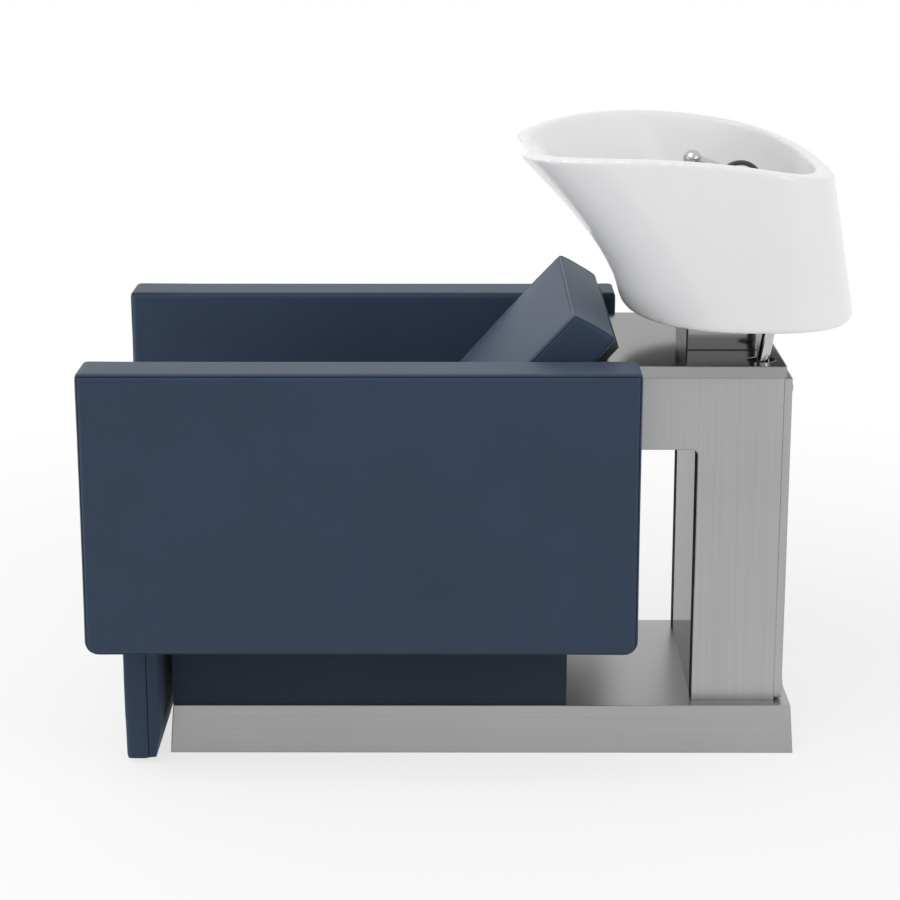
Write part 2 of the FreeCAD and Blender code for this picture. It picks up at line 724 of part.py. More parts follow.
def legrest_pad():
    """Leg pad with a crowned front and a round lower end."""
    x1 = leg_back - LEG_BOARD_THICK - CLEAR
    x0 = x1 - LEG_PAD_THICK + LEG_CROWN
    foot = LEG_BOTTOM_Z + LEG_FOOT_CROWN
    corners = [(x1, foot), (x0, foot), (x0, leg_top), (x1, leg_top)]
    return cushion(corners, [LEG_FOOT_CROWN, LEG_CROWN, 0.0, 0.0], leg_half, (LEG_PULL, 0.0))


def hinge_places():
    """Middle of each leg-rest hinge across the unit."""
    return (-HINGE_Y, HINGE_Y)


def hinge_screw_starts(face_x, side):
    """Where hinge screws enter a face: two rows on each hinge."""
    z = hinge_z - HINGE_KNUCKLE_R - HINGE_LEAF_HEIGHT / 2
    return [
        ((face_x, y + dy, z), side)
        for y in hinge_places() for dy in (-HINGE_SCREW_PITCH / 2, HINGE_SCREW_PITCH / 2)
    ]


def hinge_leaf(y, knuckles, front, face_x):
    """A hinge leaf: a flat plate with knuckles round the pin."""
    length = 3 * HINGE_KNUCKLE_L
    x0, x1 = face_x, face_x + HINGE_LEAF
    low = hinge_z - HINGE_KNUCKLE_R - HINGE_LEAF_HEIGHT
    pieces = [box(x0, x1, y - length / 2, y + length / 2, low, hinge_z - HINGE_KNUCKLE_R - CLEAR)]
    for n in knuckles:
        y0 = y - length / 2 + n * HINGE_KNUCKLE_L + CLEAR / 2
        width = HINGE_KNUCKLE_L - CLEAR
        pieces.append(rod(HINGE_KNUCKLE_R, (hinge_x, y0, hinge_z), width, Y_AXIS))
        pieces.append(box(x0, x1, y0, y0 + width, hinge_z - HINGE_KNUCKLE_R - CLEAR - 1, hinge_z))
    leaf = fused(pieces)
    leaf = leaf.cut(rod(HINGE_PIN_R + RUN_FIT, (hinge_x, y - length, hinge_z), 2 * length, Y_AXIS))
    for start, _ in hinge_screw_starts(x0 - 1, 1):
        leaf = leaf.cut(rod(HINGE_SCREW_R + BOLT_FIT, start, HINGE_LEAF + 2, X_AXIS))
    return leaf


def fixed_leaves():
    """Hinge leaves on the seat frame, with the outer knuckles."""
    face = frame_front - HINGE_LEAF
    return Part.makeCompound([hinge_leaf(y, (0, 2), False, face) for y in hinge_places()])


def moving_leaves():
    """Hinge leaves on the leg rest's board, with the middle knuckle."""
    return Part.makeCompound([hinge_leaf(y, (1,), True, leg_back) for y in hinge_places()])


def hinge_pins():
    """One pin through the knuckles of each hinge."""
    length = 3 * HINGE_KNUCKLE_L
    return Part.makeCompound(
        [rod(HINGE_PIN_R, (hinge_x, y - length / 2, hinge_z), length, Y_AXIS) for y in hinge_places()]
    )


def hinge_screws(face_x, side):
    """Flat screws that hold the hinge leaves to a face."""
    screws = []
    for (x, y, z), _ in hinge_screw_starts(face_x, side):
        out = V(-side, 0, 0)
        head_start = (x - side * HINGE_LEAF, y, z)
        head = rod(HINGE_SCREW_HEAD_R, head_start, HINGE_SCREW_HEAD_H, out)
        shank = rod(HINGE_SCREW_R, head_start, HINGE_LEAF + HINGE_SCREW_L, V(side, 0, 0))
        screws.append(fused([head, shank]))
    return Part.makeCompound(screws)


def column_side():
    """Column skin on the +Y side: one sheet for leg and beam, with a return flange at the rear."""
    outer, inner = column_half, column_half - COLUMN_SHEET
    low, high = BASE_HEIGHT, lid_under
    outline = [(column_front, low), (column_front, BEAM_BOTTOM_Z), (beam_front, BEAM_BOTTOM_Z),
               (beam_front, high), (column_rear, high), (column_rear, low)]
    sheet = side_profile(outline, inner, outer)
    corner = [e for e in sheet.Edges if runs_along(Y_AXIS)(e)
              and (e.CenterOfMass - V(column_front, e.CenterOfMass.y, BEAM_BOTTOM_Z)).Length < 0.1]
    sheet = sheet.makeFillet(BEAM_CORNER_R, corner)
    flange = box(column_rear - COLUMN_SHEET, column_rear, inner - RETURN_FLANGE, inner, low, high)
    skin = fused([sheet, flange])
    for y, z in door_screw_places():
        skin = skin.cut(rod(DOOR_SCREW_R + BOLT_FIT, (column_rear - COLUMN_SHEET - 1, y, z),
                            COLUMN_SHEET + 2, X_AXIS))
    return skin


def front_panel():
    """Polished front of the column's leg, between the side skins."""
    half = column_half - COLUMN_SHEET
    return box(column_front, column_front + PANEL_SHEET, -half, half, BASE_HEIGHT, BEAM_BOTTOM_Z)


def beam_panel():
    """Underside of the beam, folded up at its front end to close it."""
    half = column_half - COLUMN_SHEET
    inner_z = BEAM_BOTTOM_Z + PANEL_SHEET
    flat = box(beam_front, column_front + PANEL_SHEET, -half, half, BEAM_BOTTOM_Z, inner_z)
    end = box(beam_front, beam_front + PANEL_SHEET, -half, half, BEAM_BOTTOM_Z, lid_under)
    return fused([flat, end])


def lid():
    """Folded lid on the column and beam, with holes for the pipes and the pedestal's bolts."""
    half = LID_WIDTH / 2
    x0, x1 = beam_front - PANEL_SHEET, column_rear
    tray = rounded(box(x0, x1, -half, half, LID_TOP_Z - LID_SKIRT, LID_TOP_Z), LID_ROUND, runs_along(Z_AXIS))
    inner = box(x0 + PANEL_SHEET, x1 - PANEL_SHEET, -half + PANEL_SHEET, half - PANEL_SHEET,
                LID_TOP_Z - LID_SKIRT - 1, lid_under)
    front_open = box(x0 - 1, x0 + PANEL_SHEET, -half - 1, half + 1, LID_TOP_Z - LID_SKIRT - 1, lid_under)
    plate = tray.cut(inner).cut(front_open)
    plate = plate.cut(box(x1 - PANEL_SHEET, x1 + 1, -column_half - CLEAR, column_half + CLEAR,
                          LID_TOP_Z - LID_SKIRT - 1, lid_under))
    plate = plate.cut(rod(waste_room(), (pedestal_x, 0, lid_under - 1), PANEL_SHEET + 2))
    plate = plate.cut(rod(LID_HOLE_R, (lid_hole_x, LID_HOLE_Y, lid_under - 1), PANEL_SHEET + 2))
    for x, y in pedestal_bolt_places():
        plate = plate.cut(rod(PEDESTAL_BOLT_R + BOLT_FIT, (x, y, lid_under - 1), PANEL_SHEET + 2))
    return plate


def waste_room():
    """Radius of the hole that the swinging waste pipe needs."""
    return WASTE_R * 2


def door_screw_places():
    """Screws near the access door's corners, on the +Y side."""
    low, high = door_span()
    return [(column_half - DOOR_SCREW_INSET, z) for z in (low + DOOR_SCREW_INSET, high - DOOR_SCREW_INSET)]


def door_span():
    """Lower and upper edges of the access door."""
    return BASE_HEIGHT + DOOR_GAP, LID_TOP_Z - LID_SKIRT - DOOR_GAP


def access_door():
    """Folded door on the column's rear."""
    low, high = door_span()
    outer = box(column_rear, column_rear + DOOR_DEPTH, -column_half, column_half, low, high)
    inner_half = column_half - COLUMN_SHEET
    inner = box(column_rear - 1, column_rear + DOOR_DEPTH - COLUMN_SHEET, -inner_half, inner_half,
                low + COLUMN_SHEET, high - COLUMN_SHEET)
    door = outer.cut(inner)
    for y, z in door_screw_places():
        for side in (-1, 1):
            door = door.cut(rod(DOOR_SCREW_R + BOLT_FIT, (column_rear, side * y, z), DOOR_DEPTH + 1, X_AXIS))
    return door


def door_screws():
    """Screws from the door's face into the side skins' flanges."""
    screws = []
    for y, z in door_screw_places():
        face = column_rear + DOOR_DEPTH
        head = rod(DOOR_SCREW_HEAD_R, (face, y, z), DOOR_SCREW_HEAD_H, X_AXIS)
        shank = rod(DOOR_SCREW_R, (face, y, z), DOOR_DEPTH + COLUMN_SHEET + DOOR_SCREW_HEAD_H, V(-1, 0, 0))
        screw = fused([head, shank])
        screws += [screw, mirrored(screw)]
    return Part.makeCompound(screws)


def column_frame():
    """Welded frame in the column: a foot plate, two posts, two rails and a plate under the lid."""
    half = POST_SIZE / 2
    x0 = column_front + PANEL_SHEET + CLEAR
    rail_x1 = column_rear - COLUMN_SHEET - CLEAR
    foot_half = column_half - COLUMN_SHEET - CLEAR
    foot = box(x0, rail_x1, -foot_half, foot_half, BASE_HEIGHT, BASE_HEIGHT + FOOT_PLATE)
    foot = foot.cut(rod(SERVICE_HOLE_R, (service_x(), 0, BASE_HEIGHT - 1), FOOT_PLATE + 2))
    rail_x0 = beam_front + PANEL_SHEET
    rail_z0 = lid_under - POST_SIZE
    pieces = [foot]
    for y in (-POST_Y, POST_Y):
        outer, inner = hollow_bar(x0, x0 + POST_SIZE, y - half, y + half, BASE_HEIGHT + FOOT_PLATE,
                                  rail_z0, POST_WALL, "z")
        pieces.append(outer.cut(inner))
        outer, inner = hollow_bar(rail_x0, rail_x1, y - half, y + half, rail_z0, lid_under, POST_WALL, "x")
        pieces.append(outer.cut(inner))
    inner_y = POST_Y - half
    x0, x1 = pedestal_x - ped_half_x, pedestal_x + ped_half_x
    plate = box(x0, x1, -inner_y, inner_y, frame_plate_under, lid_under)
    pieces.append(plate)
    frame = fused(pieces)
    frame = frame.cut(rod(waste_room(), (pedestal_x, 0, frame_plate_under - 1), TOP_FRAME_PLATE + 2))
    for x, y in pedestal_bolt_places():
        frame = frame.cut(rod(PEDESTAL_BOLT_R + RUN_FIT, (x, y, frame_plate_under - 1), TOP_FRAME_PLATE + 2))
    return frame


def pedestal_bolt_places():
    """Bolts near the pedestal's corners, inside it."""
    x = ped_half_x - PEDESTAL_SHEET - PEDESTAL_FLANGE / 2
    y = ped_half_y - PEDESTAL_SHEET - PEDESTAL_FLANGE / 2
    return [(pedestal_x + sx * x, sy * y) for sx in (-1, 1) for sy in (-1, 1)]


def pedestal():
    """Stainless box on the lid: high cheeks carry the tilt pins, low ends leave room for the waste."""
    x, y, z = ped_half_x, ped_half_y, LID_TOP_Z
    wall = PEDESTAL_SHEET
    outer = box(pedestal_x - x, pedestal_x + x, -y, y, z, z + PEDESTAL_CHEEK_H)
    outer = rounded(outer, wall, runs_along(Z_AXIS))
    inner = box(pedestal_x - x + wall, pedestal_x + x - wall, -y + wall, y - wall,
                z + wall, z + PEDESTAL_CHEEK_H + 1)
    lip = wall + PEDESTAL_FLANGE
    opening = box(pedestal_x - x + lip, pedestal_x + x - lip, -y + lip, y - lip, z - 1, z + wall + 1)
    body = outer.cut(inner).cut(opening)
    body = body.cut(box(pedestal_x - x - 1, pedestal_x + x + 1, -y + wall, y - wall,
                        z + PEDESTAL_END_H, z + PEDESTAL_CHEEK_H + 1))
    body = body.cut(rod(waste_room(), (pedestal_x, 0, z - 1), wall + 2))
    body = body.cut(rod(TILT_PIN_R + RUN_FIT, (pedestal_x, -y - 1, pivot_z), 2 * y + 2, Y_AXIS))
    for bx, by in pedestal_bolt_places():
        body = body.cut(rod(PEDESTAL_BOLT_R + BOLT_FIT, (bx, by, z - 1), wall + 2))
    return body


def pedestal_bolts():
    """Bolts through the pedestal's flange and the lid into the frame's plate."""
    bolts = []
    for x, y in pedestal_bolt_places():
        top = LID_TOP_Z + PEDESTAL_SHEET
        head = rod(PEDESTAL_BOLT_HEAD_R, (x, y, top), PEDESTAL_BOLT_HEAD_H)
        shank = rod(PEDESTAL_BOLT_R, (x, y, frame_plate_under), top - frame_plate_under)
        bolts.append(fused([head, shank]))
    return Part.makeCompound(bolts)


def tilt_pins():
    """A headed stub pin through each cheek, washer and ear."""
    inner = ear_outer - EAR_THICK
    shank = rod(TILT_PIN_R, (pedestal_x, inner, pivot_z), ped_half_y - inner, Y_AXIS)
    head = rod(TILT_PIN_HEAD_R, (pedestal_x, ped_half_y, pivot_z), TILT_PIN_HEAD_H, Y_AXIS)
    return pair(fused([shank, head]))


def tilt_washers():
    """Friction washers between the cheeks and the ears."""
    y0 = ear_outer + CLEAR
    width = WASHER_R - TILT_PIN_R - RUN_FIT
    washer = pipe(WASHER_R, width, (pedestal_x, y0, pivot_z), WASHER_THICK + CLEAR, Y_AXIS)
    return pair(washer)


def tilt_bushes():
    """Plain bushes in the carrier's ears."""
    y0 = ear_outer - EAR_THICK
    radius = TILT_PIN_R + RUN_FIT + BUSH_WALL
    return pair(pipe(radius, BUSH_WALL, (pedestal_x, y0, pivot_z), EAR_THICK, Y_AXIS))


def carrier_bolt_places():
    """Bolts from the carrier into the basin's bosses."""
    xs = (pedestal_x + CARRIER_FRONT + CARRIER_BOLT_INSET, pedestal_x + CARRIER_REAR - CARRIER_BOLT_INSET)
    return [(x, y) for x in xs for y in (-CARRIER_BOLT_Y, CARRIER_BOLT_Y)]


def basin_carrier():
    """Steel plate under the basin, with an ear at each side for the tilt pins."""
    half = CARRIER_WIDTH / 2
    x0, x1 = pedestal_x + CARRIER_FRONT, pedestal_x + CARRIER_REAR
    plate = box(x0, x1, -half, half, carrier_under, bowl_under)
    window = box(pedestal_x - CARRIER_WINDOW_X, pedestal_x + CARRIER_WINDOW_X, -CARRIER_WINDOW_Y,
                 CARRIER_WINDOW_Y, carrier_under - 1, bowl_under + 1)
    pieces = [plate.cut(window)]
    for side in (-1, 1):
        y0 = min(side * ear_outer, side * (ear_outer - EAR_THICK))
        pieces.append(box(pedestal_x - EAR_LENGTH / 2, pedestal_x + EAR_LENGTH / 2, y0, y0 + EAR_THICK,
                          pivot_z, carrier_under))
        pieces.append(rod(EAR_LENGTH / 2, (pedestal_x, y0, pivot_z), EAR_THICK, Y_AXIS))
    carrier = fused(pieces)
    bore = TILT_PIN_R + RUN_FIT + BUSH_WALL + RUN_FIT
    carrier = carrier.cut(rod(bore, (pedestal_x, -half, pivot_z), CARRIER_WIDTH, Y_AXIS))
    for x, y in carrier_bolt_places():
        carrier = carrier.cut(rod(CARRIER_BOLT_R + BOLT_FIT, (x, y, carrier_under - 1), CARRIER_THICK + 2))
    return carrier


def carrier_bolts():
    """Bolts up through the carrier into the basin."""
    bolts = []
    for x, y in carrier_bolt_places():
        head = rod(CARRIER_BOLT_HEAD_R, (x, y, carrier_under - CARRIER_BOLT_HEAD_H), CARRIER_BOLT_HEAD_H)
        shank = rod(CARRIER_BOLT_R, (x, y, carrier_under), CARRIER_THICK + CARRIER_BOLT_REACH)
        bolts.append(fused([head, shank]))
    return Part.makeCompound(bolts)


def plan_loop(z, front, rear, mid, half):
    """A closed smooth loop at one height: a squared oval, fuller at the rear."""
    points = []
    for step in range(24):
        turn = 2 * math.pi * step / 24
        power = PLAN_REAR_POWER if math.cos(turn) > 0 else PLAN_FRONT_POWER
        reach = rear - mid if math.cos(turn) > 0 else mid - front
        x = mid + math.copysign(abs(math.cos(turn)) ** (2 / power), math.cos(turn)) * reach
        y = math.copysign(abs(math.sin(turn)) ** (2 / power), math.sin(turn)) * half
        points.append(V(x, y, z))
    curve = Part.BSplineCurve()
    curve.interpolate(points, True)
    return Part.Wire(curve.toShape())


def skirt_plan(z):
    """Front, rear, widest place and half width of the basin's outside at a height."""
    rise = (z - skirt_foot_z) / (rim_front_z - skirt_foot_z)
    lean = math.copysign(abs(rise) ** BELLY, rise)
    front = foot_front_x - (foot_front_x - rim_front_x) * lean
    rear_rise = (z - skirt_foot_z) / (rim_rear_z - skirt_foot_z)
    rear = foot_rear_x - (foot_rear_x - rim_rear_x) * rear_rise
    mid = foot_mid_x - (foot_mid_x - rim_mid_x) * rise
    half = (SKIRT_FOOT_WIDTH + (RIM_WIDTH - SKIRT_FOOT_WIDTH) * rise) / 2
    return front, rear, mid, half


def skirt_loft(heights, inset):
    """The basin's outside between some heights, or a copy of it moved in by a wall."""
    loops = []
    for z in heights:
        front, rear, mid, half = skirt_plan(z)
        loops.append(plan_loop(z, front + inset, rear - inset, mid, half - inset))
    return Part.makeLoft(loops, True, False)


def bowl_loft(grow, low, front_wall):
    """The deep bowl in front of the deck, or a copy of it grown by a wall."""
    loops = []
    for share in (0.0, 0.18, 0.55, 1.0):
        z = low + (deck_z + 2.0 - low) * share
        front = skirt_plan(bowl_floor_z + (deck_z - bowl_floor_z) * share)[0] + front_wall
        draw = 34.0 * (1.0 - share) ** 2
        half = BOWL_WIDTH / 2 - 2.2 * draw + grow
        rear = deck_edge_x - draw + grow
        middle = bowl_mid_x + 0.6 * draw + 12.0
        loops.append(plan_loop(z, front + 0.4 * draw, rear, middle, half))
    return Part.makeLoft(loops, True, False)


def above_rim():
    """Everything above the basin's rim, which arches from front to rear."""
    start = V(rim_front_x, 0, rim_front_z)
    crest = V(rim_crest_x, 0, rim_crest_z)
    end = V(rim_rear_x, 0, rim_rear_z)
    arc = Part.Arc(start, crest, end).toShape().Curve
    circle = Part.makeCylinder(arc.Radius, 2 * RIM_WIDTH, V(arc.Center.x, -RIM_WIDTH, arc.Center.z), Y_AXIS)
    top = rim_crest_z + 4 * RIM_WALL
    block = box(rim_front_x - 2 * RIM_WALL, rim_rear_x + 2 * RIM_WALL, -RIM_WIDTH, RIM_WIDTH, deck_under, top)
    return block.cut(circle)


def basin():
    """Ceramic basin: skirt, bowl, rear deck, neck notch and the holes that fittings take."""
    high = rim_crest_z + RIM_WALL
    step = (high - skirt_foot_z) / 4
    body = skirt_loft([skirt_foot_z + step * n for n in range(5)], 0.0)
    under = skirt_loft([skirt_foot_z - 1.0, (skirt_foot_z + deck_under) / 2, deck_under], SKIRT_WALL)
    under = under.cut(bowl_loft(BOWL_WALL, bowl_under, -2 * SKIRT_WALL))
    body = body.cut(under)
    for x, y in carrier_bolt_places():
        body = body.fuse(rod(BOSS_R, (x, y, bowl_under), BOWL_WALL + deck_under - bowl_under))
    body = body.cut(skirt_loft([deck_z, (deck_z + high) / 2, high + 1.0], RIM_WALL))
    body = body.cut(bowl_loft(0.0, bowl_floor_z, RIM_WALL))
    body = body.cut(above_rim())
    notch_r = ((NOTCH_WIDTH / 2) ** 2 + NOTCH_DEPTH ** 2) / (2 * NOTCH_DEPTH)
    notch_z = rim_front_z - NOTCH_DEPTH + notch_r
    body = body.cut(rod(notch_r, (rim_front_x - RIM_WALL, 0, notch_z), bowl_mid_x - rim_front_x, X_AXIS))
    for radius, x, y, low, length in basin_holes():
        body = body.cut(rod(radius, (x, y, low), length))
    return body


def basin_holes():
    """Radius, place, lower end and length of each hole in the basin."""
    through = BOWL_WALL + 2
    holes = [
        (DRAIN_HOLE_R, drain_x, 0, bowl_under - 1, through),
        (MIXER_SHANK_R + CLEAR, mixer_x, MIXER_Y, deck_under - 1, through),
        (guide_outer() + CLEAR, guide_x, HOSE_Y, deck_under - 1, through),
        (socket_outer() + CLEAR, shower_x, HOSE_Y, deck_under - 1, through),
    ]
    recess = deck_under - bowl_under + 1
    holes.append((MIXER_NUT_R + HOSE_FIT, mixer_x, MIXER_Y, bowl_under - 1, recess))
    for x, y in carrier_bolt_places():
        holes.append((CARRIER_BOLT_R + BOLT_FIT, x, y, bowl_under - 1, CARRIER_BOLT_REACH + 2))
    return holes


def guide_outer():
    """Outer radius of the hose guide."""
    return HOSE_R + HOSE_FIT + GUIDE_WALL


def socket_outer():
    """Outer radius of the socket that the hand shower parks in."""
    return SPRAY_HEAD_R + HOSE_FIT + SOCKET_WALL


def drain_flange():
    """Chrome flange in the bowl's floor with a tube below it."""
    outer = DRAIN_HOLE_R - CLEAR
    flange = rod(DRAIN_FLANGE_R, (drain_x, 0, bowl_floor_z), DRAIN_FLANGE_H)
    tube = rod(outer, (drain_x, 0, bowl_floor_z - DRAIN_TUBE_L), DRAIN_TUBE_L)
    bore = rod(outer - DRAIN_TUBE_WALL, (drain_x, 0, bowl_floor_z - DRAIN_TUBE_L + DRAIN_TUBE_WALL),
               DRAIN_TUBE_L + DRAIN_FLANGE_H)
    outlet = rod(WASTE_R - WASTE_WALL, (drain_x, 0, bowl_floor_z - DRAIN_TUBE_L - 1), DRAIN_TUBE_WALL + 2)
    return fused([flange, tube]).cut(bore).cut(outlet)


def drain_nut():
    """Nut that holds the drain flange from below."""
    hole = DRAIN_HOLE_R - CLEAR + RUN_FIT
    return pipe(DRAIN_NUT_R, DRAIN_NUT_R - hole, (drain_x, 0, bowl_under - DRAIN_NUT_H), DRAIN_NUT_H)


def drain_strainer():
    """Lift-out strainer: a holed disc on a short stem."""
    bore = DRAIN_HOLE_R - CLEAR - DRAIN_TUBE_WALL
    top = bowl_floor_z + DRAIN_FLANGE_H
    disc = rod(bore + DRAIN_TUBE_WALL, (drain_x, 0, top), STRAINER_H)
    ring = pipe(bore - CLEAR, DRAIN_TUBE_WALL, (drain_x, 0, top - STRAINER_STEM), STRAINER_STEM)
    strainer = fused([disc, ring])
    for n in range(STRAINER_HOLES):
        turn = 2 * math.pi * n / STRAINER_HOLES
        x = drain_x + (bore - 2 * DRAIN_TUBE_WALL - STRAINER_HOLE_R) * math.cos(turn)
        y = (bore - 2 * DRAIN_TUBE_WALL - STRAINER_HOLE_R) * math.sin(turn)
        strainer = strainer.cut(rod(STRAINER_HOLE_R, (x, y, top - 1), STRAINER_H + 2))
    return strainer


def waste_elbow():
    """Waste pipe from the drain, forward of the pedestal, to a drop inside it."""
    top = bowl_floor_z - DRAIN_TUBE_L
    low = top - WASTE_BEND_R - WASTE_WALL
    route = [(drain_x, 0, top), (drain_x, 0, low), (pedestal_x, 0, low), (pedestal_x, 0, waste_end_z)]
    radii = [WASTE_BEND_R, WASTE_BEND_R]
    outer = swept(route, WASTE_R, radii)[0]
    return outer.cut(swept(route, WASTE_R - WASTE_WALL, radii)[0])


def waste_hose():
    """Flexible waste hose inside the column, from the elbow to the outlet."""
    low = OUTLET_TOP_Z
    shift = service_x() - pedestal_x
    drop = (waste_end_z - low) / 4
    route = [(pedestal_x, 0, waste_end_z), (pedestal_x, 0, waste_end_z - drop),
             (pedestal_x + shift, 0, low + drop), (pedestal_x + shift, 0, low)]
    radii = [5 * WASTE_R, 5 * WASTE_R]
    return swept(route, WASTE_R, radii)[0].cut(swept(route, WASTE_R - WASTE_WALL, radii)[0])


def valve_places():
    """Middle of each stop valve."""
    x = service_x() + VALVE_REACH
    return [(x, -VALVE_PITCH / 2), (x, VALVE_PITCH / 2)]


def service_bracket():
    """Plate over the service hole that holds the outlet and the stop valves."""
    low = BASE_HEIGHT + FOOT_PLATE
    reach = SERVICE_HOLE_R + BRACKET_LAP
    x0 = max(service_x() - reach, column_front + PANEL_SHEET + CLEAR)
    x1 = min(service_x() + reach, column_rear - COLUMN_SHEET - CLEAR)
    plate = box(x0, x1, -reach, reach, low, low + BRACKET_THICK)
    step = SPIGOT_STEP + BOLT_FIT
    plate = plate.cut(rod(OUTLET_R + step, (service_x(), 0, low - 1), BRACKET_THICK + 2))
    for x, y in valve_places():
        plate = plate.cut(rod(INLET_THREAD_R + step, (x, y, low - 1), BRACKET_THICK + 2))
    return plate


def waste_outlet():
    """Outlet pipe at the floor, with a collar that rests on the bracket."""
    x = service_x()
    tube = pipe(OUTLET_R, OUTLET_WALL, (x, 0, OUTLET_END_Z), OUTLET_TOP_Z - OUTLET_END_Z)
    cap = pipe(OUTLET_R, OUTLET_R - WASTE_R + WASTE_WALL, (x, 0, OUTLET_TOP_Z - OUTLET_WALL), OUTLET_WALL)
    collar_z = BASE_HEIGHT + FOOT_PLATE + BRACKET_THICK
    collar = pipe(OUTLET_R + 2 * OUTLET_WALL, 3 * OUTLET_WALL, (x, 0, collar_z), OUTLET_WALL)
    stock_z = OUTLET_END_Z + SPIGOT_LENGTH
    stock = pipe(OUTLET_R + SPIGOT_STEP, SPIGOT_STEP + OUTLET_WALL, (x, 0, stock_z), collar_z - stock_z)
    return fused([tube, cap, collar, stock])


def mixer_body():
    """Mixer on the deck, with its threaded shank below."""
    flange = rod(MIXER_FLANGE_R, (mixer_x, MIXER_Y, deck_z), MIXER_FLANGE_H)
    body = rod(MIXER_R, (mixer_x, MIXER_Y, deck_z), MIXER_H)
    shank = rod(MIXER_SHANK_R, (mixer_x, MIXER_Y, deck_z - MIXER_SHANK_L), MIXER_SHANK_L)
    return fused([flange, body, shank])


def mixer_nut():
    """Nut that clamps the mixer to the deck from below."""
    hole = MIXER_SHANK_R + RUN_FIT
    return pipe(MIXER_NUT_R, MIXER_NUT_R - hole, (mixer_x, MIXER_Y, deck_under - MIXER_NUT_H), MIXER_NUT_H)


def mixer_cap():
    """Turning cap on the mixer with a tongue for the lever's pin."""
    low = mixer_top + CLEAR
    disc = rod(MIXER_R, (mixer_x, MIXER_Y, low), CAP_H - 2 * CLEAR)
    half = TONGUE_THICK / 2
    tongue = box(mixer_x - TONGUE_R, mixer_x + TONGUE_R, MIXER_Y - half, MIXER_Y + half, low, ball_z)
    top = rod(TONGUE_R, (mixer_x, MIXER_Y - half, ball_z), TONGUE_THICK, Y_AXIS)
    cap = fused([disc, tongue, top])
    return cap.cut(rod(LEVER_PIN_R + RUN_FIT, (mixer_x, MIXER_Y - BALL_R, ball_z), 2 * BALL_R, Y_AXIS))


def mixer_lever():
    """Ball and tapered lever, slotted for the cap's tongue."""
    ball = Part.makeSphere(BALL_R, V(mixer_x, MIXER_Y, ball_z))
    droop = math.radians(LEVER_DROOP)
    along = V(math.cos(droop), 0, -math.sin(droop))
    start = V(mixer_x, MIXER_Y, ball_z) + along * (BALL_R * 0.6)
    cone = Part.makeCone(LEVER_ROOT_R, LEVER_TIP_R, LEVER_LENGTH - BALL_R * 0.6, start, along)
    tip = Part.makeSphere(LEVER_TIP_R, start + along * (LEVER_LENGTH - BALL_R * 0.6))
    lever = fused([ball, cone, tip])
    gap = TONGUE_THICK / 2 + CLEAR
    slot = box(mixer_x - BALL_R, mixer_x + TONGUE_R + 2 * CLEAR, MIXER_Y - gap, MIXER_Y + gap,
               ball_z - 2 * BALL_R, ball_z + TONGUE_R + 2 * CLEAR)
    lever = lever.cut(slot)
    return lever.cut(rod(LEVER_PIN_R, (mixer_x, MIXER_Y - 2 * BALL_R, ball_z), 4 * BALL_R, Y_AXIS))


def lever_pin():
    """Pin through the ball and the tongue."""
    length = 2 * math.sqrt(BALL_R ** 2 - LEVER_PIN_R ** 2) - 2 * CLEAR
    return rod(LEVER_PIN_R, (mixer_x, MIXER_Y - length / 2, ball_z), length, Y_AXIS)


def hose_guide():
    """Flanged tube in the deck that the shower hose slides through."""
    low = deck_z - GUIDE_LENGTH
    flange = rod(GUIDE_FLANGE_R, (guide_x, HOSE_Y, deck_z), GUIDE_FLANGE_H)
    tube = rod(guide_outer(), (guide_x, HOSE_Y, low), guide_top - low)
    bore = rod(HOSE_R + HOSE_FIT, (guide_x, HOSE_Y, low - 1), guide_top - low + 2)
    return fused([flange, tube]).cut(bore)


def shower_hose():
    """Arched shower hose between the guide and the grip."""
    route = [(x, HOSE_Y, z) for x, z in hose_route]
    hose, length, radii = swept(route, HOSE_R)
    share = hose.Volume / (math.pi * HOSE_R ** 2 * length)
    print("shower hose: length", round(length, 1), "radii", [round(r, 1) for r in radii])
    print("shower hose: volume share", round(share, 4))
    return hose


def hose_tail():
    """The hose's run below the deck, which follows the hand shower up."""
    return rod(HOSE_R, (guide_x, HOSE_Y, hose_tail_end_z), guide_top - hose_tail_end_z)


def hand_shower():
    """Hand shower, parked head down: grip, neck and spray head."""
    head_top = shower_end_z + SPRAY_PLATE_H + SPRAY_HEAD_H
    low = shower_end_z + SPRAY_PLATE_H
    profile = [
        V(0, 0, low), V(SPRAY_HEAD_R, 0, low), V(SPRAY_HEAD_R, 0, low + SPRAY_HEAD_H * 0.4),
        V(GRIP_R, 0, head_top + GRIP_R), V(GRIP_R, 0, grip_top - 2 * GRIP_R),
        V(GRIP_NECK_R, 0, grip_top - GRIP_R), V(GRIP_NECK_R, 0, grip_top), V(0, 0, grip_top),
        V(0, 0, low),
    ]
    body = Part.Face(Part.makePolygon(profile)).revolve(V(0, 0, 0), Z_AXIS, 360)
    body.translate(V(shower_x, HOSE_Y, 0))
    return body


def spray_plate():
    """Plate with spray holes in the hand shower's face."""
    plate = rod(SPRAY_PLATE_R, (shower_x, HOSE_Y, shower_end_z), SPRAY_PLATE_H)
    for count, ring in ((6, SPRAY_PLATE_R * 0.4), (12, SPRAY_PLATE_R * 0.8)):
        for n in range(count):
            turn = 2 * math.pi * n / count
            place = (shower_x + ring * math.cos(turn), HOSE_Y + ring * math.sin(turn), shower_end_z - 1)
            plate = plate.cut(rod(1.0, place, SPRAY_PLATE_H))
    return plate


